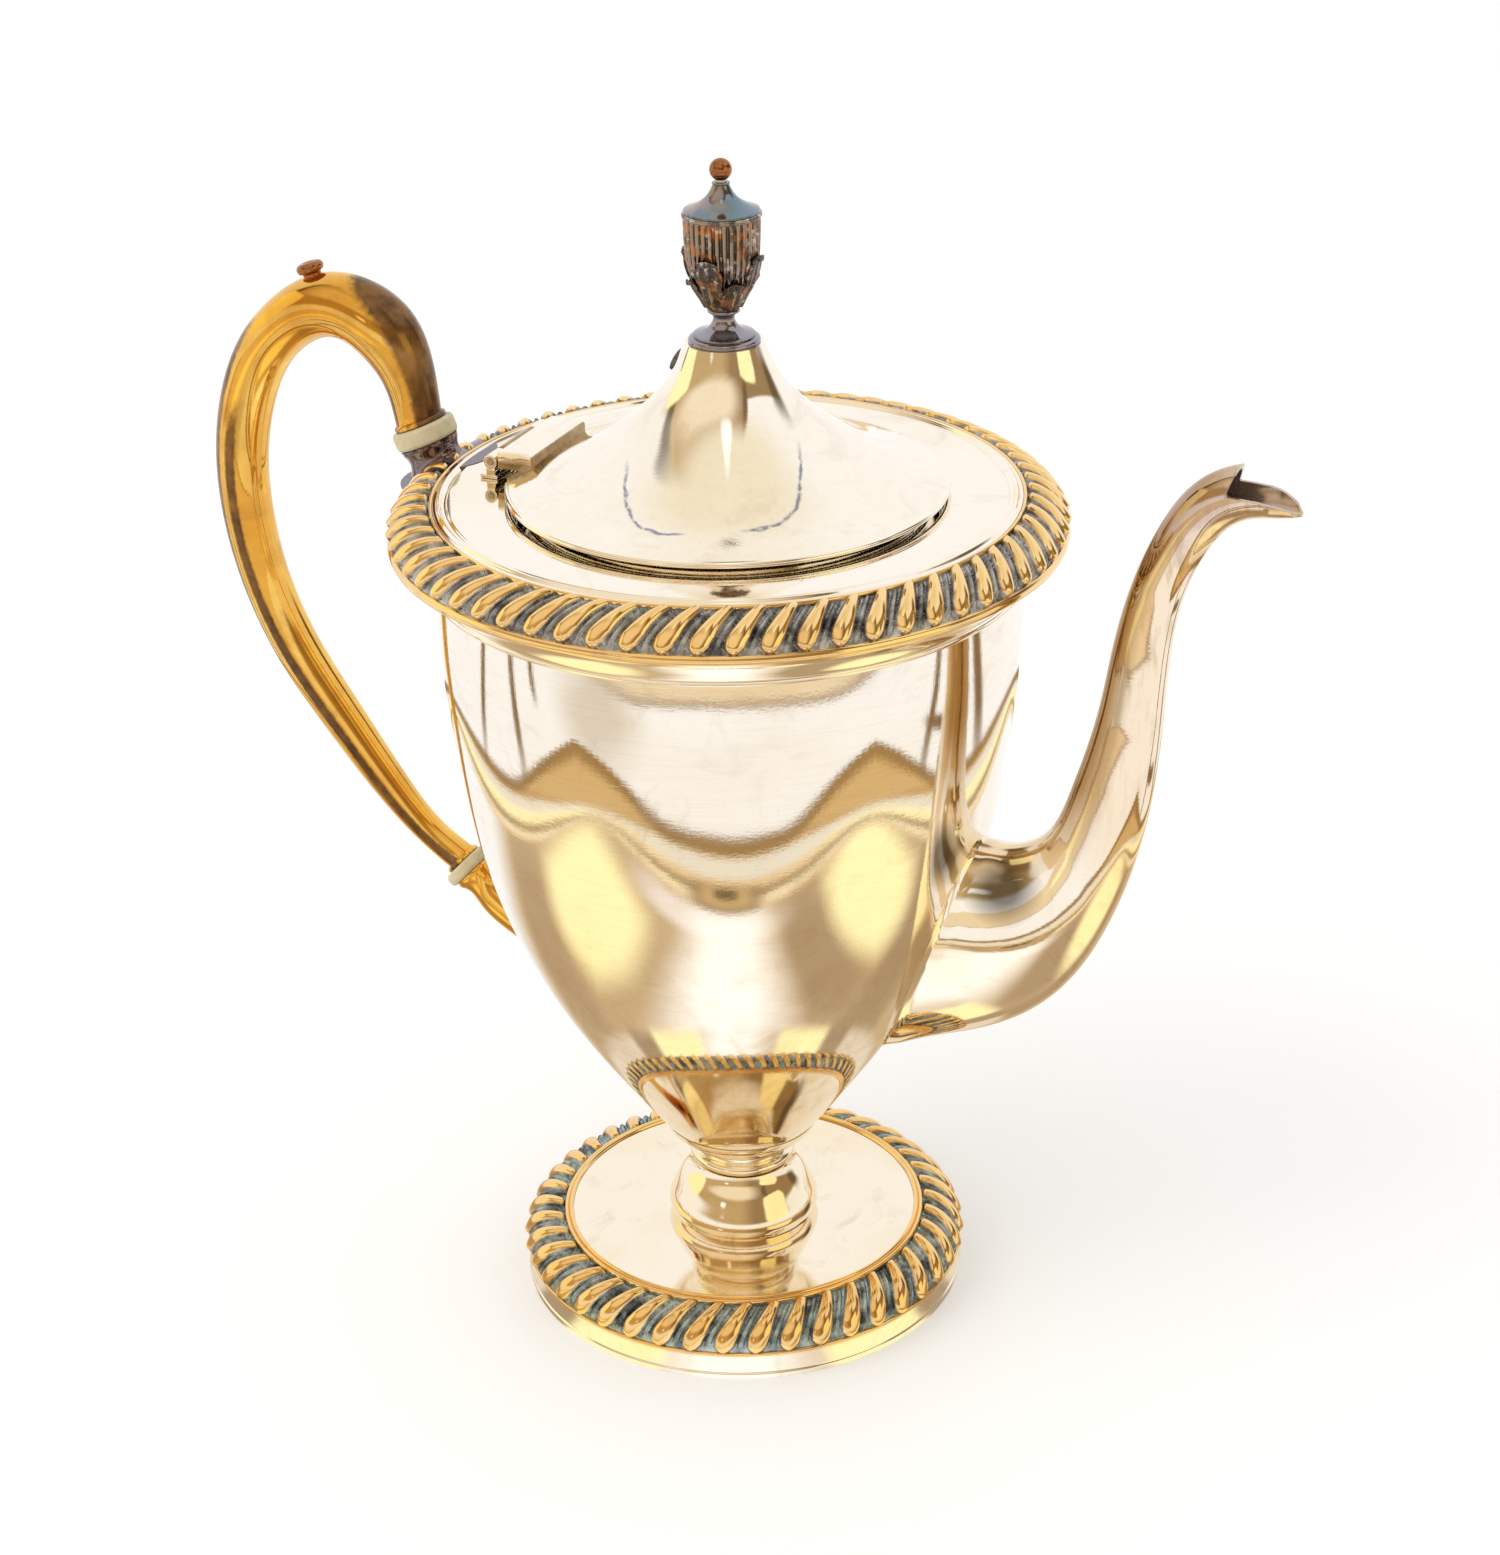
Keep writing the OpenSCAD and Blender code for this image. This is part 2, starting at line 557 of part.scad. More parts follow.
module finial_cap() {
    color(tarnished) turned(concat([[stud_bore, cap_z], [urn_r - 0.5, cap_z]],
        curve([[7.9, cap_z + 0.5], [5.4, 255.4], [3.2, 257], [2.0, 258.8], [1.9, 259.9]], 3),
        [[stud_bore, 259.9]]));
}

module finial_ball() {
    color(amber) difference() {
        translate([0, 0, ball_z]) sphere(r = ball_r, $fn = 48);
        cylinder(r = stud_bore, h = ball_z);
    }
}

module finial_stud() {
    color(steel) translate([0, 0, lid_top_z - 6])
        cylinder(r = stud_r, h = ball_z - lid_top_z + 5.9, $fn = 32);
}

module finial_washer() {
    color(steel) turned([[stud_bore, lid_top_z - sheet - 0.9], [5.2, lid_top_z - sheet - 0.9],
        [5.2, lid_top_z - sheet - gap], [stud_bore, lid_top_z - sheet - gap]]);
}

module finial_nut() {
    color(steel) translate([0, 0, lid_top_z - sheet - 3.4]) difference() {
        cylinder(r = 3.4, h = 2.4, $fn = 6);
        translate([0, 0, -1]) cylinder(r = stud_bore, h = 5, $fn = 32);
    }
}

body_shell();
rim_cove();
rim_border();
shoulder_deck();
lid_seat_collar();
stem_neck();
stem_knop();
foot_plate();
foot_border();
foot_skirt();
spout();
upper_socket();
upper_insulator();
handle_grip();
thumb_rest();
lower_insulator();
lower_socket();
handle_pins();
hinge_bracket();
hinge_pin();
lid_hinge_leaf();
lid_shell();
lid_edge_bead();
lid_bezel();
vent_ferrule();
finial_base();
finial_urn();
finial_leaves();
finial_cap();
finial_ball();
finial_stud();
finial_washer();
finial_nut();
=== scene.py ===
"""Looks of the pedestal coffee pot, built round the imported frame. Metres, +Z up, spout along +X."""

import math

import bmesh
import bpy
import numpy as np
from mathutils import Matrix, Vector

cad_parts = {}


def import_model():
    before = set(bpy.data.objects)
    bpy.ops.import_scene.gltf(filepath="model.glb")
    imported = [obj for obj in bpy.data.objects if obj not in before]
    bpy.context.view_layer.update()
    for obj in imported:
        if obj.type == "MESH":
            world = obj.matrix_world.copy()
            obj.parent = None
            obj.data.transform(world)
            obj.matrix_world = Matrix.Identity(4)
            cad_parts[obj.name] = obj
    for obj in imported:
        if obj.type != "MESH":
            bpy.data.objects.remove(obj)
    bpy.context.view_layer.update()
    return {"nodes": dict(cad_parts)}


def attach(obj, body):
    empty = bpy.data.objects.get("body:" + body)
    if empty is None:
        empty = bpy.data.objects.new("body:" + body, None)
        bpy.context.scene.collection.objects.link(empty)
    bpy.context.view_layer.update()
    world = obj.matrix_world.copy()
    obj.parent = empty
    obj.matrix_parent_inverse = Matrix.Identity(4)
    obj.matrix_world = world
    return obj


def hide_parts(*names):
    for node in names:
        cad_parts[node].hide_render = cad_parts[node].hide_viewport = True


MM = 0.001
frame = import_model()

# The photo's camera, in metres. FRONT is the bearing of the side of the pot that the photo shows, a fixed
# direction from which the reflected room, a mark on the lid and painted dark reflections on the grip are laid
# out.
CAMERA_AT = Vector((0.2780, -0.5963, 0.4417))
LOOK = Vector((-0.3764, 0.8187, -0.4337)).normalized()
ROLL = 0.02024
FRONT = math.atan2(CAMERA_AT.y, CAMERA_AT.x)
FRONT_X, FRONT_Y = math.cos(FRONT), math.sin(FRONT)

# ---- Driving dimensions, in millimetres ----

BODY_R, BODY_BOTTOM, BODY_TOP = 63.6, 36.4, 176.5
SHEET, GAP = 0.9, 0.05  # thickness of the plate, and width of a soldered seam
RIM_R, RIM_Z, DECK_Z = 72.9, 184.0, 192.9
FOOT_R, SKIRT_H, PLATE_R, PLATE_Z = 51.1, 5.9, 40.1, 14.4
KNOP_R, KNOP_TOP, NECK_R = 17.4, 27.6, 10.6
LID_R, LID_Z, LID_TOP_R, LID_TOP_Z = 47.5, 193.9, 8.4, 226.3
HINGE_X, HINGE_Z, HINGE_HALF, KNUCKLE_R = 50.5, 196.8, 12.4, 1.6
POT_H, BALL_R, URN_R = 265.0, 2.36, 8.4
RIM_LOBES, FOOT_LOBES, FLUTES = 64, 43, 32
ROUND = 288  # columns round a turned piece

# ---- Curves ----


def spline(points, steps):
    """A smooth curve (natural cubic, by chord length) through the points, with steps per span."""
    p = np.array(points, float)
    t = np.concatenate([[0], np.cumsum(np.linalg.norm(np.diff(p[:, :2], axis=0), axis=1))])
    n, h = len(p), np.diff(t)
    a, b = np.eye(n), np.zeros_like(p)
    for i in range(1, n - 1):
        a[i, i - 1 : i + 2] = h[i - 1], 2 * (h[i - 1] + h[i]), h[i]
        b[i] = 6 * ((p[i + 1] - p[i]) / h[i] - (p[i] - p[i - 1]) / h[i - 1])
    m = np.linalg.solve(a, b)
    out = []
    for i in range(n - 1):
        for k in range(steps if i < n - 2 else steps + 1):
            u = h[i] * k / steps
            v = h[i] - u
            bend = (m[i] * v**3 + m[i + 1] * u**3) / (6 * h[i])
            line = (p[i] / h[i] - m[i] * h[i] / 6) * v + (p[i + 1] / h[i] - m[i + 1] * h[i] / 6) * u
            out.append(bend + line)
    return [tuple(q) for q in out]


def step(x, a, b):
    """Smoothly 0 to 1 as x goes from a to b."""
    t = np.clip((x - a) / (b - a), 0, 1)
    return t * t * (3 - 2 * t)


def round_angles(n):
    """n even steps round a full turn, from 0."""
    return np.arange(n) * 2 * math.pi / n


def polar(r, a, z):
    """The point at radius r, angle a and height z."""
    return r * math.cos(a), r * math.sin(a), z


def arc(a, b, rise, n=14):
    """An arc from a to b that rises to the left of the line between them."""
    a, b = np.array(a, float), np.array(b, float)
    d = b - a
    side = np.array([-d[1], d[0]]) / np.linalg.norm(d)
    return [tuple(a + d * u + 4 * rise * u * (1 - u) * side) for u in np.linspace(0, 1, n + 1)]


def eased(points, radius, steps=4):
    """The closed outline with each of its sharp corners rounded."""
    p = [np.array(q, float) for q in points]
    out = []
    for i, q in enumerate(p):
        before, after = p[i - 1] - q, p[(i + 1) % len(p)] - q
        lb, la = np.linalg.norm(before), np.linalg.norm(after)
        turn = 1 + float(before @ after) / (lb * la)
        if turn < 0.06 or q[0] <= 1e-6:
            out.append(tuple(q))
            continue
        r = min(radius, 0.42 * lb, 0.42 * la)
        a, b = q + before / lb * r, q + after / la * r
        for s in np.linspace(0, 1, steps + 1):
            out.append(tuple((1 - s) ** 2 * a + 2 * s * (1 - s) * q + s**2 * b))
    return out


def offset(points, t):
    """The open outline moved by t to its right."""
    p = np.array(points, float)[:, :2]
    d = np.gradient(p, axis=0)
    d /= np.linalg.norm(d, axis=1)[:, None]
    return [tuple(q) for q in p + t * np.stack([d[:, 1], -d[:, 0]], 1)]


# ---- Meshes ----


def make(name, verts, faces, sharp=32, patina_and_painted_shade=None):
    """A smooth-shaded mesh object from millimetre points, sharp where it turns by more than sharp degrees."""
    mesh = bpy.data.meshes.new(name)
    mesh.from_pydata([tuple(np.array(v) * MM) for v in verts], [], faces)
    mesh.validate()
    if patina_and_painted_shade is not None:
        layer = mesh.attributes.new("patina_and_painted_shade", "FLOAT", "POINT")
        layer.data.foreach_set("value", np.array(patina_and_painted_shade, np.float32))
    obj = bpy.data.objects.new(name, mesh)
    bpy.context.scene.collection.objects.link(obj)
    tidy_normals(obj, sharp)
    return obj


def tidy_normals(obj, sharp=32):
    """Welds double points, turns every face outward and shades smooth up to the sharp angle."""
    bm = bmesh.new()
    bm.from_mesh(obj.data)
    bmesh.ops.remove_doubles(bm, verts=bm.verts, dist=1e-7)
    bmesh.ops.recalc_face_normals(bm, faces=bm.faces)
    bm.to_mesh(obj.data)
    bm.free()
    obj.data.shade_smooth()
    obj.data.set_sharp_from_angle(angle=math.radians(sharp))


def ring_faces(rows, cols, closed_rows=False):
    """Quads of a grid that closes on itself along its columns."""
    faces = []
    for i in range(rows if closed_rows else rows - 1):
        j = (i + 1) % rows
        for k in range(cols):
            n = (k + 1) % cols
            faces.append((i * cols + k, i * cols + n, j * cols + n, j * cols + k))
    return faces


def slab_faces(n, base=0):
    """Faces of a closed solid between two like outlines of n points, from point number base on."""
    sides = [(base + k, base + (k + 1) % n, base + n + (k + 1) % n, base + n + k) for k in range(n)]
    return sides + [tuple(range(base, base + n)), tuple(range(base + n, base + 2 * n))]


def turned(name, outline, place=None, cols=ROUND, sharp=32):
    """A closed outline of (radius, height) turned about the axis; place moves it."""
    outline = [(max(r, 0.0), z) for r, z in outline]
    verts = [polar(r, a, z) for r, z in outline for a in round_angles(cols)]
    if place is not None:
        verts = [tuple(place @ Vector(v)) for v in verts]
    off_axis = [r > 0 for r, z in outline]
    faces = [f for f in ring_faces(len(outline), cols, closed_rows=True)
             if off_axis[f[0] // cols] or off_axis[f[2] // cols]]
    return make(name, verts, faces, sharp)


def swept(name, rings, inner=None, capped=False, sharp=32, patina_and_painted_shade=None):
    """A tube through rings of points; with inner rings it has a wall of its own."""
    cols = len(rings[0])
    rows = list(rings) + (list(reversed(inner)) if inner else [])
    verts = [tuple(q) for ring in rows for q in ring]
    faces = ring_faces(len(rows), cols, closed_rows=bool(inner))
    if capped:
        faces.append(tuple(range(cols)))
        faces.append(tuple(range((len(rows) - 1) * cols, len(rows) * cols)))
    return make(name, verts, faces, sharp, patina_and_painted_shade)


def cut(obj, cutter, sharp=32):
    """obj less cutter, which is removed."""
    mod = obj.modifiers.new("cut", "BOOLEAN")
    mod.operation = "DIFFERENCE"
    mod.solver = "EXACT"
    mod.object = cutter
    bpy.context.view_layer.update()
    cleaned = bpy.data.meshes.new_from_object(obj.evaluated_get(bpy.context.evaluated_depsgraph_get()))
    obj.modifiers.clear()
    obj.data = cleaned
    bpy.data.objects.remove(cutter)
    tidy_normals(obj, sharp)
    return obj


def lean(x, z, degrees):
    """Stands a piece drawn along +Z at (x, z), leaning by so many degrees toward +X."""
    return Matrix.Translation((x, 0, z)) @ Matrix.Rotation(math.radians(degrees), 4, "Y")


def wear(obj, body, material, slot_name, *nodes):
    """Gives the piece its material, its body and the CAD nodes that it stands for."""
    obj.data.materials.clear()
    obj.data.materials.append(material)
    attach(obj, body)
    if nodes:
        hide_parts(*nodes)


# ---- Materials ----


class Graph:
    """A short way to write a node tree."""

    def __init__(self, name):
        self.material = bpy.data.materials.new(name)
        self.material.use_nodes = True
        self.tree = self.material.node_tree
        self.tree.nodes.clear()

    def feed(self, socket, value):
        """Links the socket to another one, or sets it."""
        if isinstance(value, bpy.types.NodeSocket):
            self.tree.links.new(value, socket)
        else:
            socket.default_value = value

    def node(self, kind, inputs=None, **settings):
        n = self.tree.nodes.new(kind)
        for key, value in settings.items():
            setattr(n, key, value)
        for key, value in (inputs or {}).items():
            self.feed(n.inputs[key], value)
        return n

    def where(self):
        return self.node("ShaderNodeTexCoord").outputs["Object"]

    def axis(self, vector, letter):
        return self.node("ShaderNodeSeparateXYZ", {"Vector": vector}).outputs[letter]

    def noise(self, vector, scale, detail=4.0, rough=0.55, distortion=0.0):
        inputs = {"Vector": vector, "Scale": scale, "Detail": detail, "Roughness": rough,
                  "Distortion": distortion}
        return self.node("ShaderNodeTexNoise", inputs).outputs["Fac"]

    def stretch(self, vector, scale):
        return self.node("ShaderNodeMapping", {"Vector": vector, "Scale": scale}).outputs["Vector"]

    def remap(self, value, a, b, to_a=0.0, to_b=1.0):
        inputs = {"Value": value, "From Min": a, "From Max": b, "To Min": to_a, "To Max": to_b}
        return self.node("ShaderNodeMapRange", inputs).outputs["Result"]

    def math(self, operation, a, b=0.0):
        return self.node("ShaderNodeMath", {0: a, 1: b}, operation=operation).outputs["Value"]

    def plus(self, a, b):
        return self.math("ADD", a, b)

    def times(self, a, b):
        return self.math("MULTIPLY", a, b)

    def mix(self, factor, a, b):
        """Colour a turned into colour b by factor."""
        n = self.node("ShaderNodeMix", data_type="RGBA")
        self.feed(n.inputs[0], factor)
        for socket, colour in ((n.inputs[6], a), (n.inputs[7], b)):
            self.feed(socket, (*colour, 1.0) if isinstance(colour, tuple) else colour)
        return n.outputs[2]

    def tint(self, colour, share, other):
        """The colour turned into the other one by the product of the shares."""
        factor = share[0]
        for more in share[1:]:
            factor = self.times(factor, more)
        return self.mix(factor, colour, other)

    def finish(self, inputs):
        """The material, with a principled shader that has these inputs."""
        shader = self.node("ShaderNodeBsdfPrincipled", inputs)
        self.node("ShaderNodeOutputMaterial", {"Surface": shader.outputs["BSDF"]})
        return self.material


def plate(name, clean, toned, smoke, tone_share=(0.5, 0.75), smoke_share=(0.55, 0.8), rough=(0.05, 0.12),
          scratch=0.05, patina_and_painted_shade=None, extra=None):
    """Worn plated metal: a clean colour, toned in clouds, smoky in patches, finely scratched.

    The recess colours go where the mask is low: patina; painted shade on the hinge leaf; painted reflections
    on the grip.
    extra(g, where, colour) may paint more on the colour."""
    g = Graph(name)
    where = g.where()
    cloud = g.remap(g.noise(where, 22, 5, 0.6, 0.4), *tone_share)
    patch = g.remap(g.noise(where, 60, 8, 0.7, 1.2), *smoke_share)
    speck = g.remap(g.noise(where, 900, 3), 0.62, 0.78)
    colour = g.mix(cloud, clean, toned)
    colour = g.tint(colour, (patch, 0.55), smoke)
    colour = g.tint(colour, (speck, 0.18), smoke)
    roughness = g.remap(g.plus(g.times(patch, 0.6), g.times(speck, 0.4)), 0, 1, *rough)
    metallic = 1.0
    if patina_and_painted_shade:
        height = g.node("ShaderNodeAttribute", attribute_name="patina_and_painted_shade").outputs["Fac"]
        ragged = g.plus(height, g.remap(g.noise(where, 700, 4), 0, 1, -0.16, 0.16))
        top = g.remap(ragged, 0.34, 0.6)
        metallic = g.remap(top, 0, 1, 0.75, 1.0)
        # Recess colours: patina on the castings and inside the spout, painted shade on the hinge leaf,
        # painted dark reflections on the grip.
        recess = g.mix(g.remap(g.noise(where, 260, 3), 0.35, 0.65), *patina_and_painted_shade)
        colour = g.mix(top, recess, colour)
        roughness = g.plus(roughness, g.remap(top, 0, 1, 0.14, 0.0))
    if extra:
        colour = extra(g, where, colour)
    fine = g.noise(g.stretch(where, (1, 1, 0.08)), 2600, 2)
    hair = g.noise(g.stretch(where, (0.12, 1, 1)), 1700, 2)
    dent = g.noise(where, 38, 2)
    height = g.plus(g.plus(g.times(fine, 0.5), g.times(hair, 0.5)), g.times(dent, 6.0))
    bump = g.node("ShaderNodeBump", {"Height": height, "Strength": scratch, "Distance": 0.00012})
    return g.finish({"Base Color": colour, "Roughness": roughness, "Metallic": metallic,
                     "Normal": bump.outputs["Normal"]})


def ivory():
    """Aged cream plastic of the insulators, with brown specks."""
    g = Graph("aged_ivory")
    where = g.where()
    cloud = g.remap(g.noise(where, 120, 4), 0.35, 0.7)
    colour = g.mix(cloud, (0.66, 0.58, 0.38), (0.50, 0.41, 0.23))
    speck = g.remap(g.noise(where, 900, 3), 0.6, 0.75)
    colour = g.tint(colour, (speck, 0.4), (0.30, 0.22, 0.10))
    bump = g.node("ShaderNodeBump", {"Height": g.noise(where, 1500, 3), "Strength": 0.15, "Distance": 0.0001})
    return g.finish({"Base Color": colour, "Roughness": g.remap(cloud, 0, 1, 0.32, 0.5),
                     "Normal": bump.outputs["Normal"], "Subsurface Weight": 0.1, "Subsurface Scale": 0.001})


def scratches_and_painted_reflections(g, where, colour):
    """Painted reflections: smoky blotches heaviest on the lower half of the vase and a golden tint at its
    foot; fine level scratches.
    """
    height = g.axis(where, "Z")
    # Painted reflections: the smoky blotches weighted onto the lower half, then a golden tint at the bottom.
    low = g.remap(height, 0.125, 0.075)
    painted_smoke = g.remap(g.noise(where, 75, 9, 0.72, 0.8), 0.44, 0.62)
    colour = g.tint(colour, (painted_smoke, low, 0.42), (0.60, 0.46, 0.30))
    colour = g.tint(colour, (g.remap(height, 0.066, 0.050), 0.4), (0.78, 0.60, 0.35))
    level = g.remap(g.noise(g.stretch(where, (1, 1, 26)), 55, 4, 0.65), 0.48, 0.72)
    return g.tint(colour, (level, 0.16), (0.70, 0.55, 0.36))


def spout_patina_and_painted_shade(g, where, colour):
    """Brown streaks up toward the lip, painted shade facing the pot, a dark painted reflection in the bend, a
    violet bloom by the lip.
    """
    height = g.axis(where, "Z")
    streak = g.remap(g.noise(g.stretch(where, (3, 3, 0.5)), 160, 5, 0.65), 0.50, 0.66)
    colour = g.tint(colour, (streak, g.remap(height, 0.12, 0.19), 0.62), (0.34, 0.20, 0.09))
    facing = g.node("ShaderNodeTexCoord").outputs["Normal"]
    # Painted shade on the side of the spout that faces the pot.
    painted_shade_pot_side = g.remap(g.axis(facing, "X"), 0.16, -0.55)
    upper_run = g.remap(height, 0.118, 0.140)
    colour = g.tint(colour, (upper_run, 0.45), (0.88, 0.66, 0.40))
    colour = g.tint(colour, (painted_shade_pot_side, upper_run, 0.9), (0.36, 0.20, 0.06))
    # Painted reflection: a dark spot in the bend.
    away = g.node("ShaderNodeVectorMath", {0: where, 1: PAINTED_REFLECTION_SPOT}, operation="DISTANCE").outputs["Value"]
    colour = g.tint(colour, (g.remap(away, 0.0100, 0.0045), 0.85), (0.10, 0.085, 0.08))
    bloom = g.remap(g.noise(where, 120, 3), 0.35, 0.6)
    return g.tint(colour, (g.remap(height, 0.190, 0.200), bloom, 0.55), (0.50, 0.36, 0.36))


def crazing(g, where, colour):
    """A broken blue line round the front of the lid, down both sides of a rounded shape."""
    x, y = g.axis(where, "X"), g.axis(where, "Y")
    across = g.math("ABSOLUTE", g.plus(g.plus(g.times(x, -FRONT_Y), g.times(y, FRONT_X)), 0.003))
    front = g.plus(g.times(x, FRONT_X), g.times(y, FRONT_Y))
    past = g.math("MAXIMUM", g.math("SUBTRACT", front, CRAZE_START), 0.0)
    shape = g.plus(g.math("POWER", g.math("DIVIDE", across, CRAZE_R), 3.0),
                   g.math("POWER", g.math("DIVIDE", past, CRAZE_R), 3.0))
    wobble = g.remap(g.noise(where, 260, 4), 0, 1, -0.16, 0.16)
    line = g.remap(g.math("ABSOLUTE", g.math("SUBTRACT", g.plus(shape, wobble), 1.0)), 0.09, 0.02)
    line = g.times(line, g.times(g.remap(across, 0.005, 0.008), g.remap(front, 0.014, CRAZE_START)))
    line = g.times(line, g.remap(g.noise(where, 700, 3), 0.34, 0.5, 0.25, 0.85))
    mottle = g.remap(g.noise(where, 480, 5, 0.7), 0.45, 0.7)
    return g.mix(line, g.tint(colour, (mottle, 0.25), (0.84, 0.72, 0.52)), (0.16, 0.19, 0.30))


def amber_patina(g, where, colour):
    """Clouds of brown toning."""
    cloud = g.remap(g.noise(where, 48, 6, 0.65, 0.6), 0.46, 0.68)
    return g.tint(colour, (cloud, 0.5), (0.50, 0.24, 0.05))


def finial_patina(g, where, colour):
    """Copper showing through in spots, black in the lows and bright where it is rubbed."""
    copper = g.remap(g.noise(where, 330, 3), 0.54, 0.62)
    colour = g.tint(colour, (copper, 0.6), (0.60, 0.24, 0.07))
    dark = g.remap(g.noise(g.stretch(where, (1, 1, 0.4)), 460, 3), 0.50, 0.60)
    colour = g.tint(colour, (dark, 0.75), (0.07, 0.055, 0.05))
    rubbed = g.remap(g.noise(where, 620, 3), 0.58, 0.66)
    return g.tint(colour, (rubbed, 0.6), (0.78, 0.74, 0.74))


# Centre of the painted reflection in the spout's bend.
PAINTED_REFLECTION_SPOT = (0.0665, -0.0115, 0.1160)  # the dark spot, in metres
CRAZE_START, CRAZE_R = 0.020, 0.018  # how far forward the line starts to turn in, and the size of its turn

CHAMPAGNE = (0.95, 0.885, 0.775), (0.92, 0.82, 0.66), (0.66, 0.53, 0.38)
SILVER = plate("champagne_plate", *CHAMPAGNE)
LID = plate("lid_plate", *CHAMPAGNE, extra=crazing)
# On the hinge leaf the dark brown recess pair is painted shade on its sides and edges.
LEAF = plate("hinge_leaf_painted_shade", *CHAMPAGNE, patina_and_painted_shade=((0.26, 0.17, 0.08), (0.46, 0.31, 0.14)))
# Painted reflections: darker, warmer copies of the champagne plate, for the foot's plate and for the stem.
WARM_PAINTED_REFLECTION = plate("warm_painted_reflection_plate", (0.93, 0.84, 0.68), (0.88, 0.73, 0.50), (0.60, 0.44, 0.26))
STEM_PAINTED_REFLECTION = plate("stem_painted_reflection_plate", (0.92, 0.81, 0.62), (0.82, 0.64, 0.40), (0.48, 0.34, 0.19))
BODY = plate("body_plate", (0.95, 0.885, 0.78), (0.91, 0.81, 0.65), (0.68, 0.55, 0.40), scratch=0.06,
             extra=scratches_and_painted_reflections)
SPOUT_PLATE = plate("spout_plate", (0.95, 0.875, 0.75), (0.90, 0.76, 0.54), (0.60, 0.44, 0.27),
                    patina_and_painted_shade=((0.20, 0.215, 0.225), (0.36, 0.375, 0.38)), extra=spout_patina_and_painted_shade)
# On the grip the dark brown recess pair is painted dark reflections.
AMBER = plate("amber_plate", (0.95, 0.60, 0.14), (0.74, 0.37, 0.06), (0.38, 0.20, 0.07), (0.35, 0.65),
              (0.5, 0.8), (0.05, 0.13), patina_and_painted_shade=((0.10, 0.052, 0.022), (0.20, 0.10, 0.035)),
              extra=amber_patina)
CAST_ROUGH = (0.08, 0.16)
RIM = plate("rim_gadroon", (0.92, 0.66, 0.31), (0.86, 0.54, 0.20), (0.50, 0.36, 0.24), rough=CAST_ROUGH,
            patina_and_painted_shade=((0.09, 0.088, 0.092), (0.48, 0.47, 0.46)))
FOOT = plate("foot_gadroon", (0.90, 0.62, 0.27), (0.84, 0.50, 0.17), (0.45, 0.33, 0.22), rough=CAST_ROUGH,
             patina_and_painted_shade=((0.06, 0.075, 0.08), (0.46, 0.53, 0.52)))
FINIAL = plate("finial_casting", (0.34, 0.285, 0.26), (0.50, 0.22, 0.09), (0.10, 0.085, 0.085), (0.56, 0.66),
               rough=(0.06, 0.16), patina_and_painted_shade=((0.05, 0.04, 0.035), (0.13, 0.10, 0.09)), extra=finial_patina)
BLUED = plate("blued_plate", (0.17, 0.24, 0.29), (0.46, 0.31, 0.25), (0.10, 0.10, 0.15), (0.50, 0.62),
              rough=(0.08, 0.18))
VIOLET = plate("violet_plate", (0.17, 0.16, 0.20), (0.24, 0.18, 0.19), (0.11, 0.095, 0.12), rough=CAST_ROUGH)
BASE = plate("finial_base_plate", (0.30, 0.28, 0.32), (0.52, 0.34, 0.22), (0.16, 0.14, 0.17), (0.5, 0.6),
             rough=CAST_ROUGH)
COPPER = plate("copper_toned_ball", (0.36, 0.15, 0.06), (0.24, 0.085, 0.035), (0.12, 0.045, 0.03),
               rough=(0.08, 0.18))
STEEL = plate("fastener_steel", (0.60, 0.59, 0.57), (0.50, 0.46, 0.40), (0.25, 0.22, 0.19), rough=(0.25, 0.4))
IVORY = ivory()

# ---- Body ----

VASE = spline(
    [(BODY_R * r, BODY_BOTTOM + (BODY_TOP - BODY_BOTTOM) * h) for h, r in (
        (0, 0.245), (0.041, 0.316), (0.096, 0.402), (0.175, 0.522), (0.291, 0.678), (0.4, 0.792),
        (0.497, 0.866), (0.602, 0.918), (0.707, 0.953), (0.807, 0.978), (0.904, 0.995), (1, 1))],
    10,
)
VASE_Z, VASE_R = [q[1] for q in VASE], [q[0] for q in VASE]


def vase_r(z):
    """Outer radius of the vase at a height."""
    return float(np.interp(z, VASE_Z, VASE_R))


def strainer_drills():
    """A rod along X for each strainer hole, in rows that get shorter away from the middle one."""
    hole_r, pitch, middle_z, longest_row, sides = 1.5, 4.6, 97, 5, 20
    verts, faces = [], []
    for row in range(-3, 4):
        count = longest_row - abs(row) // 2
        for k in range(count):
            y, z = (k - (count - 1) / 2) * pitch, middle_z + row * pitch
            faces += slab_faces(sides, len(verts))
            verts += [(x, y + hole_r * math.cos(a), z + hole_r * math.sin(a))
                      for x in (30, 70) for a in round_angles(sides)]
    return make("drills", verts, faces)


def vase():
    """The spun body with the strainer holes that open into the spout."""
    inside = [q for q in offset(VASE, -SHEET) if q[1] > BODY_BOTTOM + SHEET]
    top = DECK_Z - SHEET - GAP
    outline = [(0, BODY_BOTTOM), *VASE, (BODY_R, top), (BODY_R - SHEET, top)]
    return cut(turned("vase", outline + inside[::-1] + [(0, BODY_BOTTOM + SHEET)]), strainer_drills())


wear(vase(), "pot", BODY, "silver_plate", "body_shell")


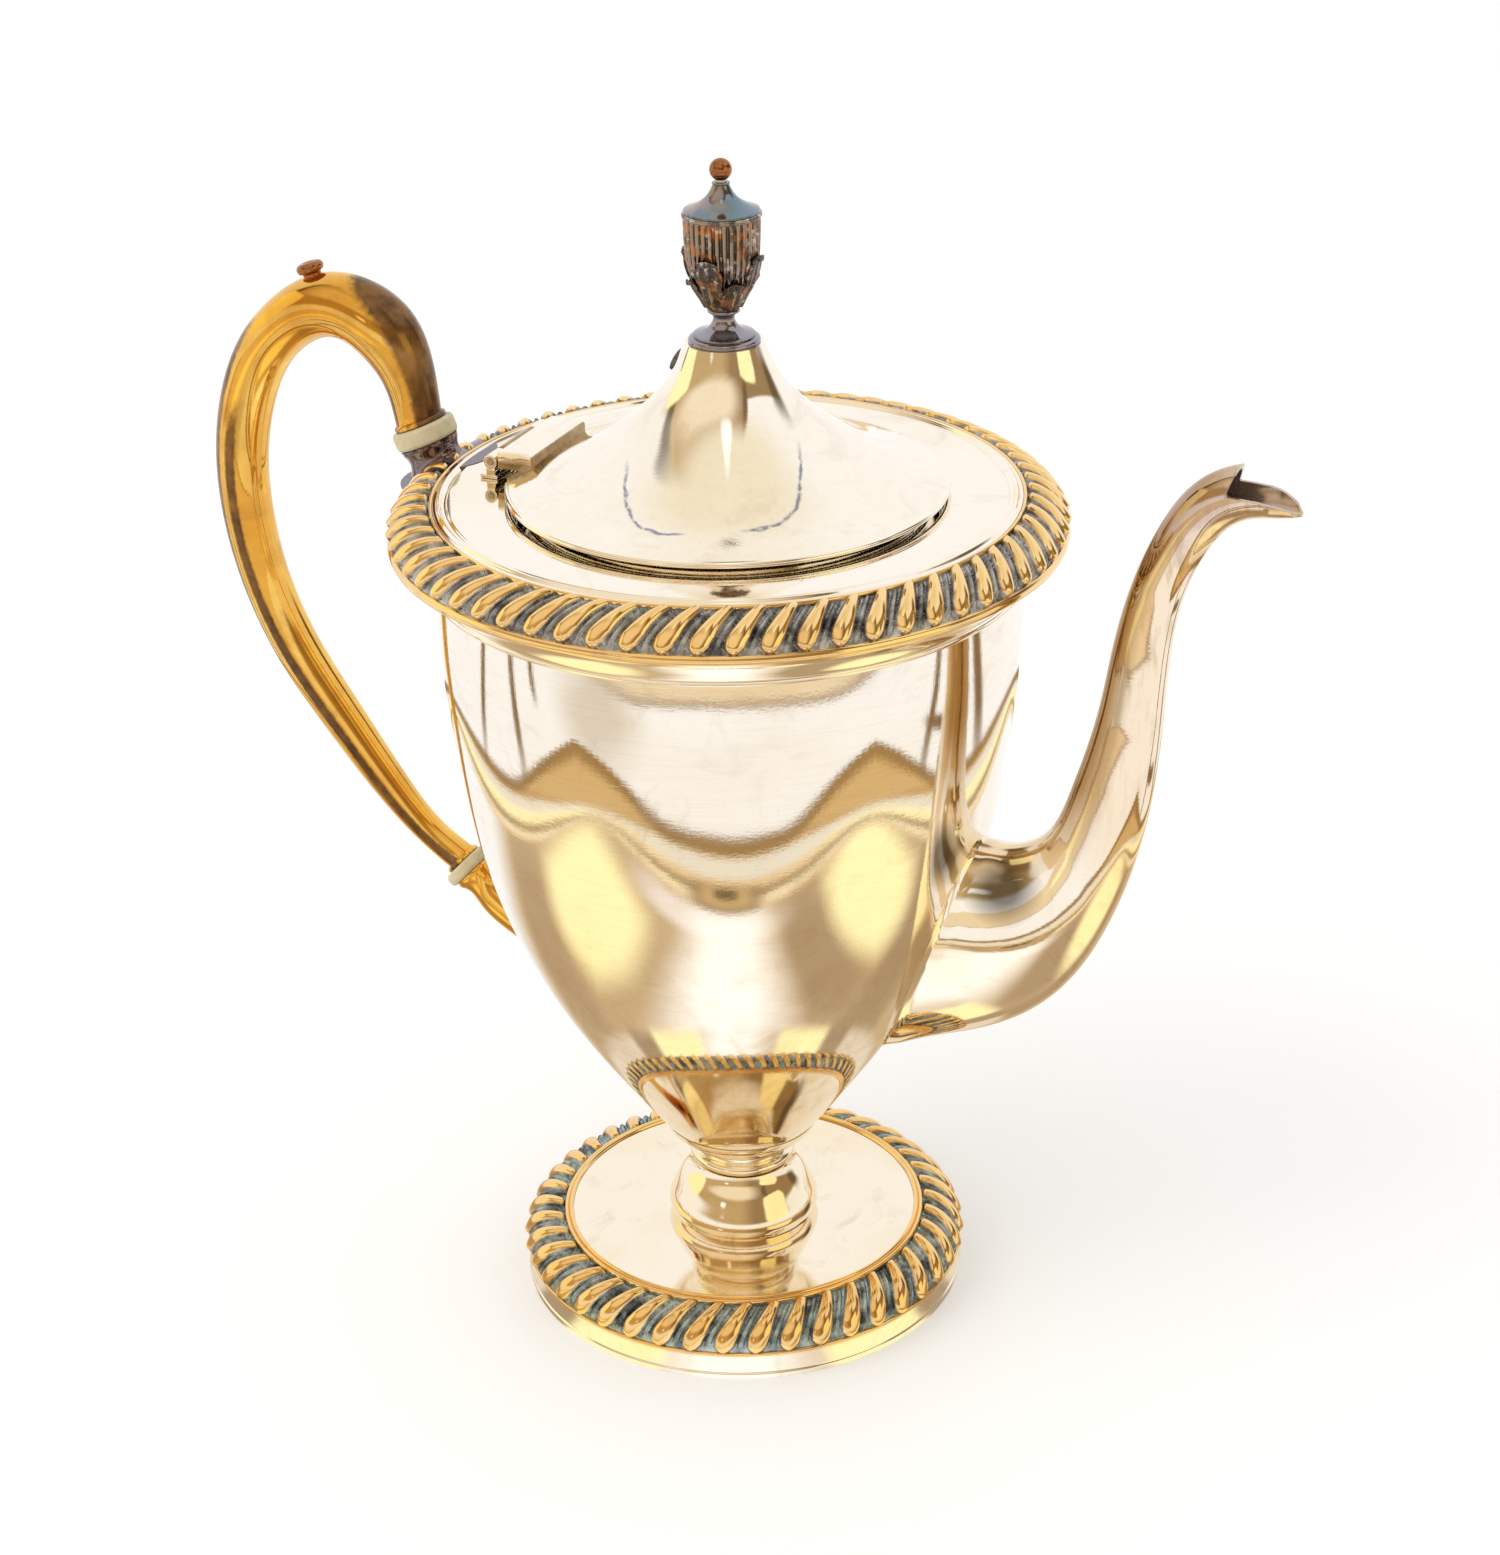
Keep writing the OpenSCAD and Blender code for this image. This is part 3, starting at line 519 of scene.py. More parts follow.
def rim_cove():
    """The hollow cove that flares from the body, over a small bead, to the lip of the rim."""
    cove = [(BODY_R + GAP, BODY_TOP - 0.9), (BODY_R + 0.9, BODY_TOP - 0.5), (BODY_R + 1.1, BODY_TOP + 0.3),
            (BODY_R + 0.9, BODY_TOP + 0.7)]
    under = arc((BODY_R + 1.2, BODY_TOP + 0.9), (RIM_R - 0.9, RIM_Z - 0.1), 1.6)
    back = arc((BODY_R + 1, BODY_TOP + 2.2), (RIM_R - 2.0, RIM_Z - 0.3), 1.6)
    return turned("rim_cove_skin", eased(cove, 0.25) + under + [(RIM_R - 1.8, RIM_Z - 0.1)] + back[::-1]
                  + [(BODY_R + GAP, BODY_TOP + 2.2)])


wear(rim_cove(), "pot", SILVER, "silver_plate", "rim_cove")


DECK_IN, DECK_OUT = 43.9, 62.8


def deck():
    """The flat ring, with a groove and a ridge near its outer edge."""
    top = [(DECK_IN, DECK_Z), (59.6, DECK_Z), (60.0, DECK_Z - 0.35), (60.6, DECK_Z - 0.35),
           *arc((60.9, DECK_Z), (61.9, DECK_Z), 0.5, 6), (62.1, DECK_Z - 0.2), (DECK_OUT, DECK_Z - 0.2)]
    return turned("deck_skin", eased(top + [(DECK_OUT, DECK_Z - SHEET), (DECK_IN, DECK_Z - SHEET)], 0.15))


def seat_collar():
    """The upright ring that the lid's flange drops into."""
    inner, outer, low, high = 43.05, DECK_IN - GAP, DECK_Z - 6.4, DECK_Z + 0.6
    return turned("seat_collar_skin", eased([(inner, low), (outer, low), (outer, high), (inner, high)], 0.25))


wear(deck(), "pot", SILVER, "silver_plate", "shoulder_deck")
wear(seat_collar(), "pot", SILVER, "silver_plate", "lid_seat_collar")

# ---- Gadroon borders ----

# Half width of a lobe as a share of the pitch, from its outer end to its inner one.
LOBE_WIDTH = (0, 0.04, 0.12, 0.30, 0.6, 1), (0.06, 0.20, 0.32, 0.37, 0.31, 0.22)


def gadroon(name, inner, outer, crown, lobes, height, sweep, edge_in, edge_out, per_lobe=22, rows=40):
    """A border of swept lobes between the circles through inner and outer, with a thin rib in each recess.

    edge_in and edge_out are the plain outlines that close the piece at either side."""
    base = np.array(arc(inner, outer, crown, rows))
    d = np.gradient(base, axis=0)
    d /= np.linalg.norm(d, axis=1)[:, None]
    normal = np.stack([-d[:, 1], d[:, 0]], 1)
    cols = lobes * per_lobe
    angle = round_angles(cols)
    verts, patina_and_painted_shade = [], []
    for (r, z), n, s in zip(base, normal, np.linspace(1, 0, rows + 1)):
        # s is 0 at the outer end of a lobe and 1 at its inner end
        u = (angle * lobes / (2 * math.pi) - sweep * s**1.5) % 1.0 - 0.5
        width = float(np.interp(s, *LOBE_WIDTH))
        lobe = np.sqrt(np.clip(1 - (u / width) ** 2, 0, 1)) * min(1.0, width / 0.26) ** 0.7
        lobe *= min(1.0, (1 - s) / 0.05) ** 0.5 if s > 0.95 else 1.0
        v = np.abs(np.abs(u) - 0.5)
        rib_width = 0.085 + 0.02 * (1 - s)
        rib = 0.5 * np.sqrt(np.clip(1 - (v / rib_width) ** 2, 0, 1))
        rib *= min(1.0, s / 0.15) * min(1.0, (1 - s) / 0.1)
        h = height * np.maximum(lobe, rib)
        verts += [polar(r + n[0] * rise, a, z + n[1] * rise) for a, rise in zip(angle, h)]
        patina_and_painted_shade += list(lobe)
    edges = list(edge_out) + list(edge_in)
    for r, z in edges:
        verts += [polar(r, a, z) for a in angle]
        patina_and_painted_shade += [1.0] * cols
    return make(name, verts, ring_faces(len(base) + len(edges), cols, closed_rows=True), 50, patina_and_painted_shade)


def rim_border():
    """The border of the rim, with a rolled lip outside it and a bead inside it."""
    lip = eased([(RIM_R - 0.7, RIM_Z + 2.1), (RIM_R - 0.25, RIM_Z + 1.6), (RIM_R, RIM_Z + 0.9),
                 (RIM_R - 0.25, RIM_Z), (RIM_R - 2.2, RIM_Z)], 0.3)
    seam = DECK_OUT + GAP
    inside = [(BODY_R + GAP, DECK_Z - 4.5), (BODY_R + GAP, DECK_Z - SHEET), (seam, DECK_Z - SHEET),
              (seam, DECK_Z - 0.5), *arc((seam, DECK_Z - 0.3), (63.7, DECK_Z - 0.5), 0.45, 6)]
    return gadroon("rim_gadroon_skin", (63.75, DECK_Z - 0.9), (RIM_R - 0.95, RIM_Z + 2.1), 1.5, RIM_LOBES,
                   1.7, 0.95, inside, lip)


wear(rim_border(), "pot", RIM, "oxidised_casting", "rim_border")


def foot_border():
    """The border of the foot, with two fine beads between its lobes and the plate."""
    skirt = eased([(FOOT_R - 0.35, SKIRT_H + 0.75), (FOOT_R, SKIRT_H + 0.45), (FOOT_R, SKIRT_H + GAP),
                   (FOOT_R - 2.5, SKIRT_H + GAP)], 0.2)
    inside = arc((FOOT_R - 3, SKIRT_H + 0.4), (PLATE_R + 3, PLATE_Z - 3), -1.8, 8)
    inside += [(PLATE_R + GAP, PLATE_Z - 1.2), (PLATE_R + GAP, PLATE_Z + 0.2)]
    inside += arc((PLATE_R + 0.1, PLATE_Z + 0.2), (PLATE_R + 1.1, PLATE_Z + 0.2), 0.55, 8)
    inside += arc((PLATE_R + 1.1, PLATE_Z), (PLATE_R + 2.2, PLATE_Z - 0.3), 0.55, 8)
    return gadroon("foot_gadroon_skin", (PLATE_R + 2.3, PLATE_Z - 0.9), (FOOT_R - 0.45, SKIRT_H + 0.8), 2.2,
                   FOOT_LOBES, 1.6, 0.8, inside, skirt, per_lobe=28)


wear(foot_border(), "pot", FOOT, "oxidised_casting", "foot_border")

# ---- Stem and foot ----


def stem_neck():
    """A ringed neck that opens into a cup under the vase."""
    top = BODY_BOTTOM + 2.6
    seat = vase_r(top) + GAP
    outline = [(NECK_R - 1.2, KNOP_TOP + GAP), (NECK_R + 0.2, KNOP_TOP + GAP)]
    outline += arc((NECK_R + 0.5, KNOP_TOP + 0.2), (NECK_R + 0.3, KNOP_TOP + 3.1), -1.1, 10)
    outline += spline([(NECK_R + 0.1, KNOP_TOP + 3.3), (NECK_R - 0.05, KNOP_TOP + 4.6),
                       (NECK_R + 0.6, KNOP_TOP + 6.2), (NECK_R + 2.6, BODY_BOTTOM - 1.1),
                       (NECK_R + 3.4, BODY_BOTTOM - 0.8)], 6)
    outline += arc((NECK_R + 3.5, BODY_BOTTOM - 0.7), (seat + 0.1, top), -1.0, 12)
    outline += [(seat, top), (vase_r(BODY_BOTTOM) + GAP, BODY_BOTTOM), (NECK_R - 1.2, BODY_BOTTOM - GAP)]
    return turned("stem_neck_skin", outline)


def stem_knop():
    """The domed shell between the foot's plate and the neck."""
    dome = spline([(KNOP_R - 0.9, PLATE_Z - 0.9), (KNOP_R, 16.4), (KNOP_R - 1.3, 20.0), (13.9, 23.9),
                   (12.2, 26.1), (NECK_R + 0.9, KNOP_TOP)], 8)
    return turned("stem_knop_skin", dome + [(NECK_R - 1.2, KNOP_TOP)] + offset(dome, -1.1)[::-1])


def foot_plate():
    """The flat plate, very slightly dished."""
    top = arc((5, PLATE_Z - 1.1), (PLATE_R, PLATE_Z), -0.15, 20)
    return turned("foot_plate_skin", top + offset(top, SHEET)[::-1])


def foot_skirt():
    """The band that the pot stands on, with a wire at its lower edge."""
    outline = [(FOOT_R - 1.6, 0), (FOOT_R, 0), (FOOT_R, 1.0), (FOOT_R - 0.4, 1.4),
               (FOOT_R - 0.4, SKIRT_H - 0.7), (FOOT_R, SKIRT_H), (FOOT_R - 1.6, SKIRT_H)]
    return turned("foot_skirt_skin", eased(outline, 0.25))


# The stem and the foot's plate take the darker copies, painted reflections.
wear(stem_neck(), "pot", STEM_PAINTED_REFLECTION, "silver_plate", "stem_neck")
wear(stem_knop(), "pot", STEM_PAINTED_REFLECTION, "silver_plate", "stem_knop")
wear(foot_plate(), "pot", WARM_PAINTED_REFLECTION, "silver_plate", "foot_plate")
wear(foot_skirt(), "pot", SILVER, "silver_plate", "foot_skirt")

# ---- Spout ----

# Underside and top of the spout at each station, with its half width and pinch.
SPOUT = [
    ((38.1, 65.6), (59.4, 120.5), 12.3, 0.2), ((46.5, 69.6), (61.5, 120.6), 12.1, 0.18),
    ((56.0, 73.4), (64.8, 120.7), 11.7, 0.14), ((66.0, 78.4), (68.5, 121.9), 11.1, 0.10),
    ((75.0, 85.6), (72.0, 124.2), 10.3, 0.06), ((83.0, 96.3), (74.8, 127.6), 9.4, 0.02),
    ((88.6, 108.0), (77.0, 132.2), 8.6, 0), ((93.0, 121.0), (79.2, 138.6), 7.9, 0),
    ((96.2, 137.2), (81.8, 147.0), 7.1, 0), ((97.8, 154.0), (84.4, 157.5), 6.3, 0),
    ((99.0, 170.5), (86.7, 170.5), 6.0, 0), ((101.3, 183.8), (90.6, 186.3), 5.4, 0),
    ((105.3, 193.7), (95.6, 198.6), 5.4, 0), ((109.4, 199.6), (102.6, 208.8), 5.5, 0),
    ((114.0, 202.7), (110.6, 213.5), 5.6, 0), ((119.0, 203.8), (118.2, 214.5), 5.5, 0),
    ((123.2, 204.3), (123.0, 213.5), 3.9, 0), ((124.8, 204.7), (124.8, 211.5), 1.2, 0),
]


def oval(centre, half, width, pinch, cols):
    """A ring in the plane of half (X and Z parts) and the Y axis."""
    c, s = np.cos(round_angles(cols)), np.sin(round_angles(cols))
    return np.stack([centre[0] - half[0] * c, width * s * (1 - pinch * c), centre[1] - half[1] * c], 1)


def on_vase(ring, side, lift):
    """The ring slid along X until it lies on the vase."""
    out = ring.copy()
    for q in out:
        q[0] = side * math.sqrt((vase_r(q[2]) + lift) ** 2 - q[1] ** 2)
    return out


def spout():
    """The swan neck, flared where it meets the vase, with a wall of its own and a scooped lip."""
    cols, steps = 72, 7
    under, upper = (np.array(spline([s[i] for s in SPOUT], steps)) for i in (0, 1))
    station = np.arange(len(under)) / steps
    width, pinch = (np.interp(station, range(len(SPOUT)), [s[i] for s in SPOUT]) for i in (2, 3))

    def section(i, t):
        """The ring at step i, moved inward by t."""
        half = (upper[i] - under[i]) / 2
        return oval((under[i] + upper[i]) / 2, half * (1 - t / np.linalg.norm(half)), max(width[i] - t, 0.4),
                    pinch[i], cols)

    flare = [on_vase(section(0, -0.9), 1, -0.1), on_vase(section(0, -0.45), 1, 0.25),
             on_vase(section(0, 0), 1, 0.8)]
    outer = flare + [section(i, 0) for i in range(2, len(under))]
    inner = [on_vase(section(0, SHEET), 1, -0.1)] + [section(i, SHEET) for i in range(2, len(under))]
    bright = [1.0] * (len(outer) * cols) + [0.0] * (len(inner) * cols)
    obj = swept("spout_skin", outer, inner, patina_and_painted_shade=bright)
    scoop = eased([(112.2, 226), (111.9, 213.4), (111.0, 210.6), (110.4, 208.7), (113.6, 208.5),
                   (117.0, 208.3), (120.2, 207.6), (122.6, 206.6), (126.0, 204.6), (130, 202.8), (130, 226)],
                  0.5, 3)
    verts = [(x, y, z) for y in (-12, 12) for x, z in scoop]
    return cut(obj, make("mouth_cut", verts, slab_faces(len(scoop))), 40)


wear(spout(), "pot", SPOUT_PLATE, "silver_plate", "spout")

# ---- Handle ----

# Centre line of the grip between its ends, as (x, z, radius).
GRIP = [
    (-75.6, 205.0, 5.5), (-77.4, 211.5, 6.3), (-81.6, 218.3, 7.4), (-88.4, 222.6, 7.4), (-95.6, 223.3, 7.2),
    (-105.0, 219.1, 6.6), (-113.2, 210.8, 6.3), (-118.9, 198.8, 6.2), (-121.8, 184.0, 6.0),
    (-121.3, 169.0, 5.8), (-117.6, 153.0, 5.5), (-110.8, 138.2, 5.3), (-100.4, 123.1, 4.9),
    (-88.0, 106.8, 4.1), (-77.6, 96.2, 3.5)]
# Where each insulator sits, as (x, z), how far it leans, its radius and its thickness.
UPPER_SEAT, UPPER_LEAN, UPPER_R, UPPER_T = (-72.6, 194.6), -22.6, 7.2, 4.2
LOWER_SEAT, LOWER_LEAN, LOWER_R, LOWER_T = (-70.1, 90.9), 131.7, 6.2, 2.9


def above_upper(d):
    """The point a distance d from the upper seat, up along the lean of its insulator."""
    a = math.radians(UPPER_LEAN)
    return UPPER_SEAT[0] + d * math.sin(a), UPPER_SEAT[1] + d * math.cos(a)


def below_lower(d):
    """The point a distance d from the lower seat, down along the lean of its insulator."""
    a = math.radians(LOWER_LEAN)
    return LOWER_SEAT[0] + d * math.sin(a), LOWER_SEAT[1] + d * math.cos(a)


def path_rings(path, cols=48):
    """Round rings across a path of (x, z, radius)."""
    p = np.array(path, float)
    d = np.gradient(p[:, :2], axis=0)
    d /= np.linalg.norm(d, axis=1)[:, None]
    return [oval(q[:2], q[2] * np.array([-e[1], e[0]]), q[2], 0, cols) for q, e in zip(p, d)]


def grip_painted_reflections(x, z, r, point):
    """1 where the grip keeps its colour and 0 where dark reflections are painted in, at a point of the ring
    round (x, z).
    """
    outward = (point[0] - x) / r
    sideways = (-FRONT_Y * (point[0] - x) + FRONT_X * point[1]) / r
    # Painted dark reflections: a streak and an edge laid across the view from the front, and a patch under
    # the top bend.
    streak = 0.88 * math.exp(-(((sideways + 0.38) / 0.26) ** 2)) * step(z, 212, 188)
    edge = 0.80 * step(sideways, -0.62, -0.90)
    under_bend = step(x, -97, -87) * step(z, 195, 199)
    under = 0.95 * under_bend * step(outward + 0.35 * point[1] / r, -0.45, 0.45)
    return 1 - max(streak, edge, under)


def grip():
    """The hollow grip, with a small collar at either end."""
    first = [(*above_upper(UPPER_T + d), r) for d, r in
             ((0.05, 5.6), (0.3, 6.0), (0.8, 6.05), (1.2, 5.75), (1.4, 5.35))]
    middle = spline([(*above_upper(UPPER_T + 1.6), 5.25)] + GRIP + [(*below_lower(-1.5), 3.6)], 6)
    last = [(*below_lower(-d), r) for d, r in ((1.35, 3.7), (1.2, 4.2), (0.7, 4.55), (0.3, 4.5), (0.05, 4.1))]
    path = first + middle + last
    rings = path_rings(path)
    # bright is 0 where the grip's dark reflections are painted.
    bright = [grip_painted_reflections(*centre, point) for centre, ring in zip(path, rings) for point in ring]
    return swept("grip_skin", rings, capped=True, patina_and_painted_shade=bright)


wear(grip(), "pot", AMBER, "amber_toned_plate", "handle_grip")


def thumb_rest():
    """A small button with a dimple, on a short neck."""
    outline = [(0, -0.4), (2.1, -0.4), (2.0, 0.5), (2.9, 0.9), (3.15, 1.8), (2.8, 2.6), (1.9, 3.05),
               (1.1, 2.75), (0, 2.6)]
    return turned("thumb_rest_skin", eased(outline, 0.45), lean(-99.3, 229.6, -18), cols=96)


wear(thumb_rest(), "pot", COPPER, "amber_toned_plate", "thumb_rest")


def insulator(name, seat, degrees, r, t, spigot):
    """A ring of radius r and thickness t, with a spigot that reaches into the metal on either side."""
    reach = 4.4
    outline = [(0, -reach), (spigot, -reach), (spigot, 0), (r - 0.5, 0), (r, 0.6), (r + 0.05, t / 2),
               (r, t - 0.6), (r - 0.5, t), (spigot, t), (spigot, t + reach), (0, t + reach)]
    return turned(name, eased(outline, 0.5), lean(*seat, degrees), cols=128)


wear(insulator("upper_insulator_skin", UPPER_SEAT, UPPER_LEAN, UPPER_R - GAP, UPPER_T, 3.2), "pot", IVORY,
     "ivory_insulator", "upper_insulator")
wear(insulator("lower_insulator_skin", LOWER_SEAT, LOWER_LEAN, LOWER_R - GAP, LOWER_T, 1.9), "pot", IVORY,
     "ivory_insulator", "lower_insulator")


def rim_surface(r):
    """Height of the deck and the rim border's crown at a radius."""
    crown = [(0, DECK_Z), (62, DECK_Z), *arc((62.9, DECK_Z - 0.3), (RIM_R - 0.9, RIM_Z + 2), 2.4, 20)]
    return float(np.interp(r, [q[0] for q in crown], [q[1] for q in crown]))


def upper_socket():
    """A flared thimble whose foot lies on the rim."""
    cols = 120
    flare = spline([(6.7, -0.15), (6.5, -1.0), (6.0, -2.2), (5.85, -3.6), (6.6, -5.6), (8.4, -8.4),
                    (10.4, -11.0), (11.6, -12.4)], 6)
    place = lean(*UPPER_SEAT, UPPER_LEAN)
    rings = []
    for r, z in [(3.25, -0.06), (6.3, -0.06), *flare]:
        ring = [place @ Vector(polar(r, a, z)) for a in round_angles(cols)]
        rings.append([(q.x, q.y, max(q.z, rim_surface(math.hypot(q.x, q.y)) + 0.1)) for q in ring])
    foot = [(x, y, rim_surface(math.hypot(x, y)) - 0.3) for x, y, z in rings[-1]]
    return swept("upper_socket_skin", rings + [foot], capped=True, sharp=40)


wear(upper_socket(), "pot", VIOLET, "dark_tarnished_plate", "upper_socket")


def lower_socket():
    """A socket that bends from the lower insulator down to a broad foot on the vase."""
    cols = 48
    path = [(*below_lower(LOWER_T + d), r) for d, r in ((0.05, 5.0), (0.9, 5.1), (2.0, 4.6))]
    path += [(-62.6, 83.6, 4.2), (-56.2, 79.0, 4.4), (-49.8, 76.4, 5.1)]
    low, high = np.array((-38, 68.3)), np.array((-47, 82.3))
    root = [on_vase(oval((low + high) / 2, spread * (low - high) / 2, width, 0, cols), -1, lift)
            for spread, width, lift in ((1, 6.6, 0.5), (1.12, 7.4, -0.1))]
    rings = path_rings(spline(path, 6), cols) + root
    return swept("lower_socket_skin", rings, capped=True, patina_and_painted_shade=[1.0] * (len(rings) * cols))


wear(lower_socket(), "pot", AMBER, "amber_toned_plate", "lower_socket")

# ---- Hinge ----

LEAF_HALF = HINGE_HALF - 5.4  # half the length of the middle knuckle
PIN_BORE = 0.8


def prism(name, outline, y0, y1, bevel=0.25):
    """An outline of (x, z) drawn out along Y with bevelled edges."""
    verts = [(x, y, z) for y in (y0, y1) for x, z in outline]
    obj = make(name, verts, slab_faces(len(outline)))
    mod = obj.modifiers.new("bevel", "BEVEL")
    mod.width, mod.segments, mod.limit_method = bevel * MM, 3, "ANGLE"
    return obj


def knuckle(y0, y1, bore):
    """A barrel round the hinge's axis."""
    outline = eased([(bore, 0), (KNUCKLE_R, 0), (KNUCKLE_R, y1 - y0), (bore, y1 - y0)], 0.2)
    place = Matrix.Translation((-HINGE_X, y1, HINGE_Z)) @ Matrix.Rotation(math.radians(90), 4, "X")
    return turned("knuckle", outline, place, cols=64)


def joined(name, parts, tone=None):
    """One object of several, with their modifiers applied. tone gives a point's value in the patina and
    painted shade mask.
    """
    graph = bpy.context.evaluated_depsgraph_get()
    verts, faces = [], []
    for obj in parts:
        mesh = bpy.data.meshes.new_from_object(obj.evaluated_get(graph))
        base = len(verts)
        verts += [tuple(v.co / MM) for v in mesh.vertices]
        faces += [tuple(base + i for i in p.vertices) for p in mesh.polygons]
    for obj in parts:
        bpy.data.objects.remove(obj)
    return make(name, verts, faces, patina_and_painted_shade=[tone(v) for v in verts] if tone else None)


def hinge_bracket():
    """The plate on the deck, with a knuckle on a web at either end."""
    back, front, low = -HINGE_X - 2.6, -HINGE_X + 1.6, DECK_Z + GAP
    parts = [prism("plate", [(back, low), (front, low), (front, low + 0.9), (back, low + 0.9)],
                   -HINGE_HALF, HINGE_HALF)]
    web = [(-HINGE_X - 1.2, DECK_Z + 0.5), (-HINGE_X + 1.2, DECK_Z + 0.5),
           (-HINGE_X + 1.0, HINGE_Z - 1.1), (-HINGE_X - 1.0, HINGE_Z - 1.1)]
    for y0, y1 in ((-HINGE_HALF, -LEAF_HALF - 0.3), (LEAF_HALF + 0.3, HINGE_HALF)):
        parts += [knuckle(y0, y1, PIN_BORE - 0.03), prism("web", web, y0, y1)]
    return joined("hinge_bracket_skin", parts)


def hinge_leaf():
    """The flat plate over the lid's back edge, with a scribed line along its top and painted shade below its
    top.
    """
    top, back = HINGE_Z + 2.7, -HINGE_X + KNUCKLE_R + 0.3
    outline = [(back, HINGE_Z - 1.1), (back, top - 0.4), (back + 0.4, top), (back + 4.6, top + 0.28),
               (back + 4.95, top), (back + 5.3, top + 0.27), (back + 7.6, top + 0.1), (back + 8.6, top - 0.7),
               (back + 8.6, HINGE_Z - 1.1)]
    web = [(-HINGE_X, HINGE_Z - 0.7), (back + 0.5, HINGE_Z - 0.7), (back + 0.5, HINGE_Z + 1.2),
           (-HINGE_X, HINGE_Z + 1.2)]
    parts = [prism("plate", outline, -HINGE_HALF, HINGE_HALF, 0.12), prism("web", web, -LEAF_HALF, LEAF_HALF),
             knuckle(-LEAF_HALF, LEAF_HALF, PIN_BORE)]
    # Every point below the leaf's top face takes the painted shade colour.
    return joined("hinge_leaf_skin", parts, lambda v: float(v[2] > top - 0.45))


wear(hinge_bracket(), "pot", SILVER, "silver_plate", "hinge_bracket")
wear(hinge_leaf(), "lid", LEAF, "silver_plate", "lid_hinge_leaf")

# ---- Lid ----

BELL = spline([(LID_R - 0.4, LID_Z + 1.2), (43.2, 196.45), (36.4, 198.95), (29.9, 202.4), (23.2, 207.1),
               (16.3, 213.0), (11.3, 219.6), (LID_TOP_R, LID_TOP_Z)], 9)
VENT = lean(-9, 220, -65)  # on the bell's slope, on the handle's side


def lid_shell():
    """The bell, open in the middle for the finial's stud, with the vent drilled in it."""
    stud_r, vent_r = 1.3, 2.4
    inside = [q for q in offset(BELL, -SHEET) if q[1] < LID_TOP_Z - SHEET]
    outline = BELL + [(stud_r, LID_TOP_Z), (stud_r, LID_TOP_Z - SHEET), (LID_TOP_R - 1.4, LID_TOP_Z - SHEET)]
    drill = turned("vent_cut", [(0, 0), (vent_r, 0), (vent_r, 8), (0, 8)], VENT, cols=48)
    return cut(turned("lid_bell_skin", outline + inside[::-1]), drill)


def lid_bead():
    """The wire round the lid's edge."""
    wire = 0.75
    outline = [(LID_R - wire + wire * math.cos(a), LID_Z + wire + wire * math.sin(a))
               for a in round_angles(16)]
    return turned("lid_bead_skin", outline, sharp=60)


def lid_bezel():
    """The flange that drops into the deck's collar."""
    inner, outer = 41.3, 42.1
    outline = [(inner, LID_Z - 5.6), (outer, LID_Z - 5.6), (outer, LID_Z + 1.2), (outer + 0.5, LID_Z + 1.7),
               (outer - 0.3, LID_Z + 1.9), (inner, LID_Z + 1.2)]
    return turned("lid_bezel_skin", eased(outline, 0.25))


def vent_ring():
    """The ring set in the vent hole."""
    outline = [(1.9, 0.9), (2.35, 0.9), (2.45, 1.9), (2.7, 2.2), (2.5, 2.6), (2.0, 2.5)]
    return turned("vent_ring_skin", eased(outline, 0.2), VENT, cols=64)


wear(lid_shell(), "lid", LID, "silver_plate", "lid_shell")
wear(lid_bead(), "lid", SILVER, "silver_plate", "lid_edge_bead")
wear(lid_bezel(), "lid", SILVER, "silver_plate", "lid_bezel")
wear(vent_ring(), "lid", VIOLET, "silver_plate", "vent_ferrule")

# ---- Finial ----

BASE_Z, URN_Z, CAP_Z, BALL_Z = LID_TOP_Z + GAP, 233.3, 254.0, POT_H - BALL_R
STUD_BORE = 1.25


def finial_base():
    """A stepped disc and a waisted stem."""
    outline = [(STUD_BORE, BASE_Z), (7.6, BASE_Z), *arc((7.65, BASE_Z + 0.1), (6.9, BASE_Z + 1.1), -0.25, 6)]
    outline += [(6.55, BASE_Z + 1.15), (6.6, BASE_Z + 1.6)]
    outline += spline([(6.35, BASE_Z + 1.8), (5.2, BASE_Z + 2.15), (3.5, 229.2), (2.45, 230.6), (2.3, 231.6),
                       (2.8, 232.4)], 6)
    outline += arc((3.1, 232.5), (3.3, URN_Z - GAP), -0.25, 5)
    return turned("finial_base_skin", outline + [(STUD_BORE, URN_Z - GAP)], cols=128)


def finial_urn():
    """The bowl, with flutes that fade out under a plain rim."""
    bowl = spline([(3.2, URN_Z), (4.7, 236.1), (6.2, 239), (7.35, 242.4), (7.85, 246), (8.1, 252.4)], 10)
    bowl += eased([(URN_R - 0.2, 252.9), (URN_R, 253.2), (URN_R, 253.7), (URN_R - 0.4, CAP_Z - GAP),
                   (STUD_BORE, CAP_Z - GAP)], 0.2)
    per_flute, deepest = 12, 0.55
    cols = FLUTES * per_flute
    phase = (np.arange(cols) % per_flute) / per_flute * 2 * math.pi
    groove = deepest * np.clip(0.5 + 0.62 * np.cos(phase), 0, 1) ** 1.4
    verts, patina_and_painted_shade = [], []
    for r, z in [(STUD_BORE, URN_Z), *bowl]:
        fade = np.clip((z - 238) / 4, 0, 1) * np.clip((253.1 - z) / 0.5, 0, 1) if r > 3 else 0.0
        verts += [polar(r - depth, a, z) for a, depth in zip(round_angles(cols), fade * groove)]
        patina_and_painted_shade += list(1 - 1.8 * fade * groove)
    return make("finial_urn_skin", verts, ring_faces(len(bowl) + 1, cols, closed_rows=True), 45, patina_and_painted_shade)


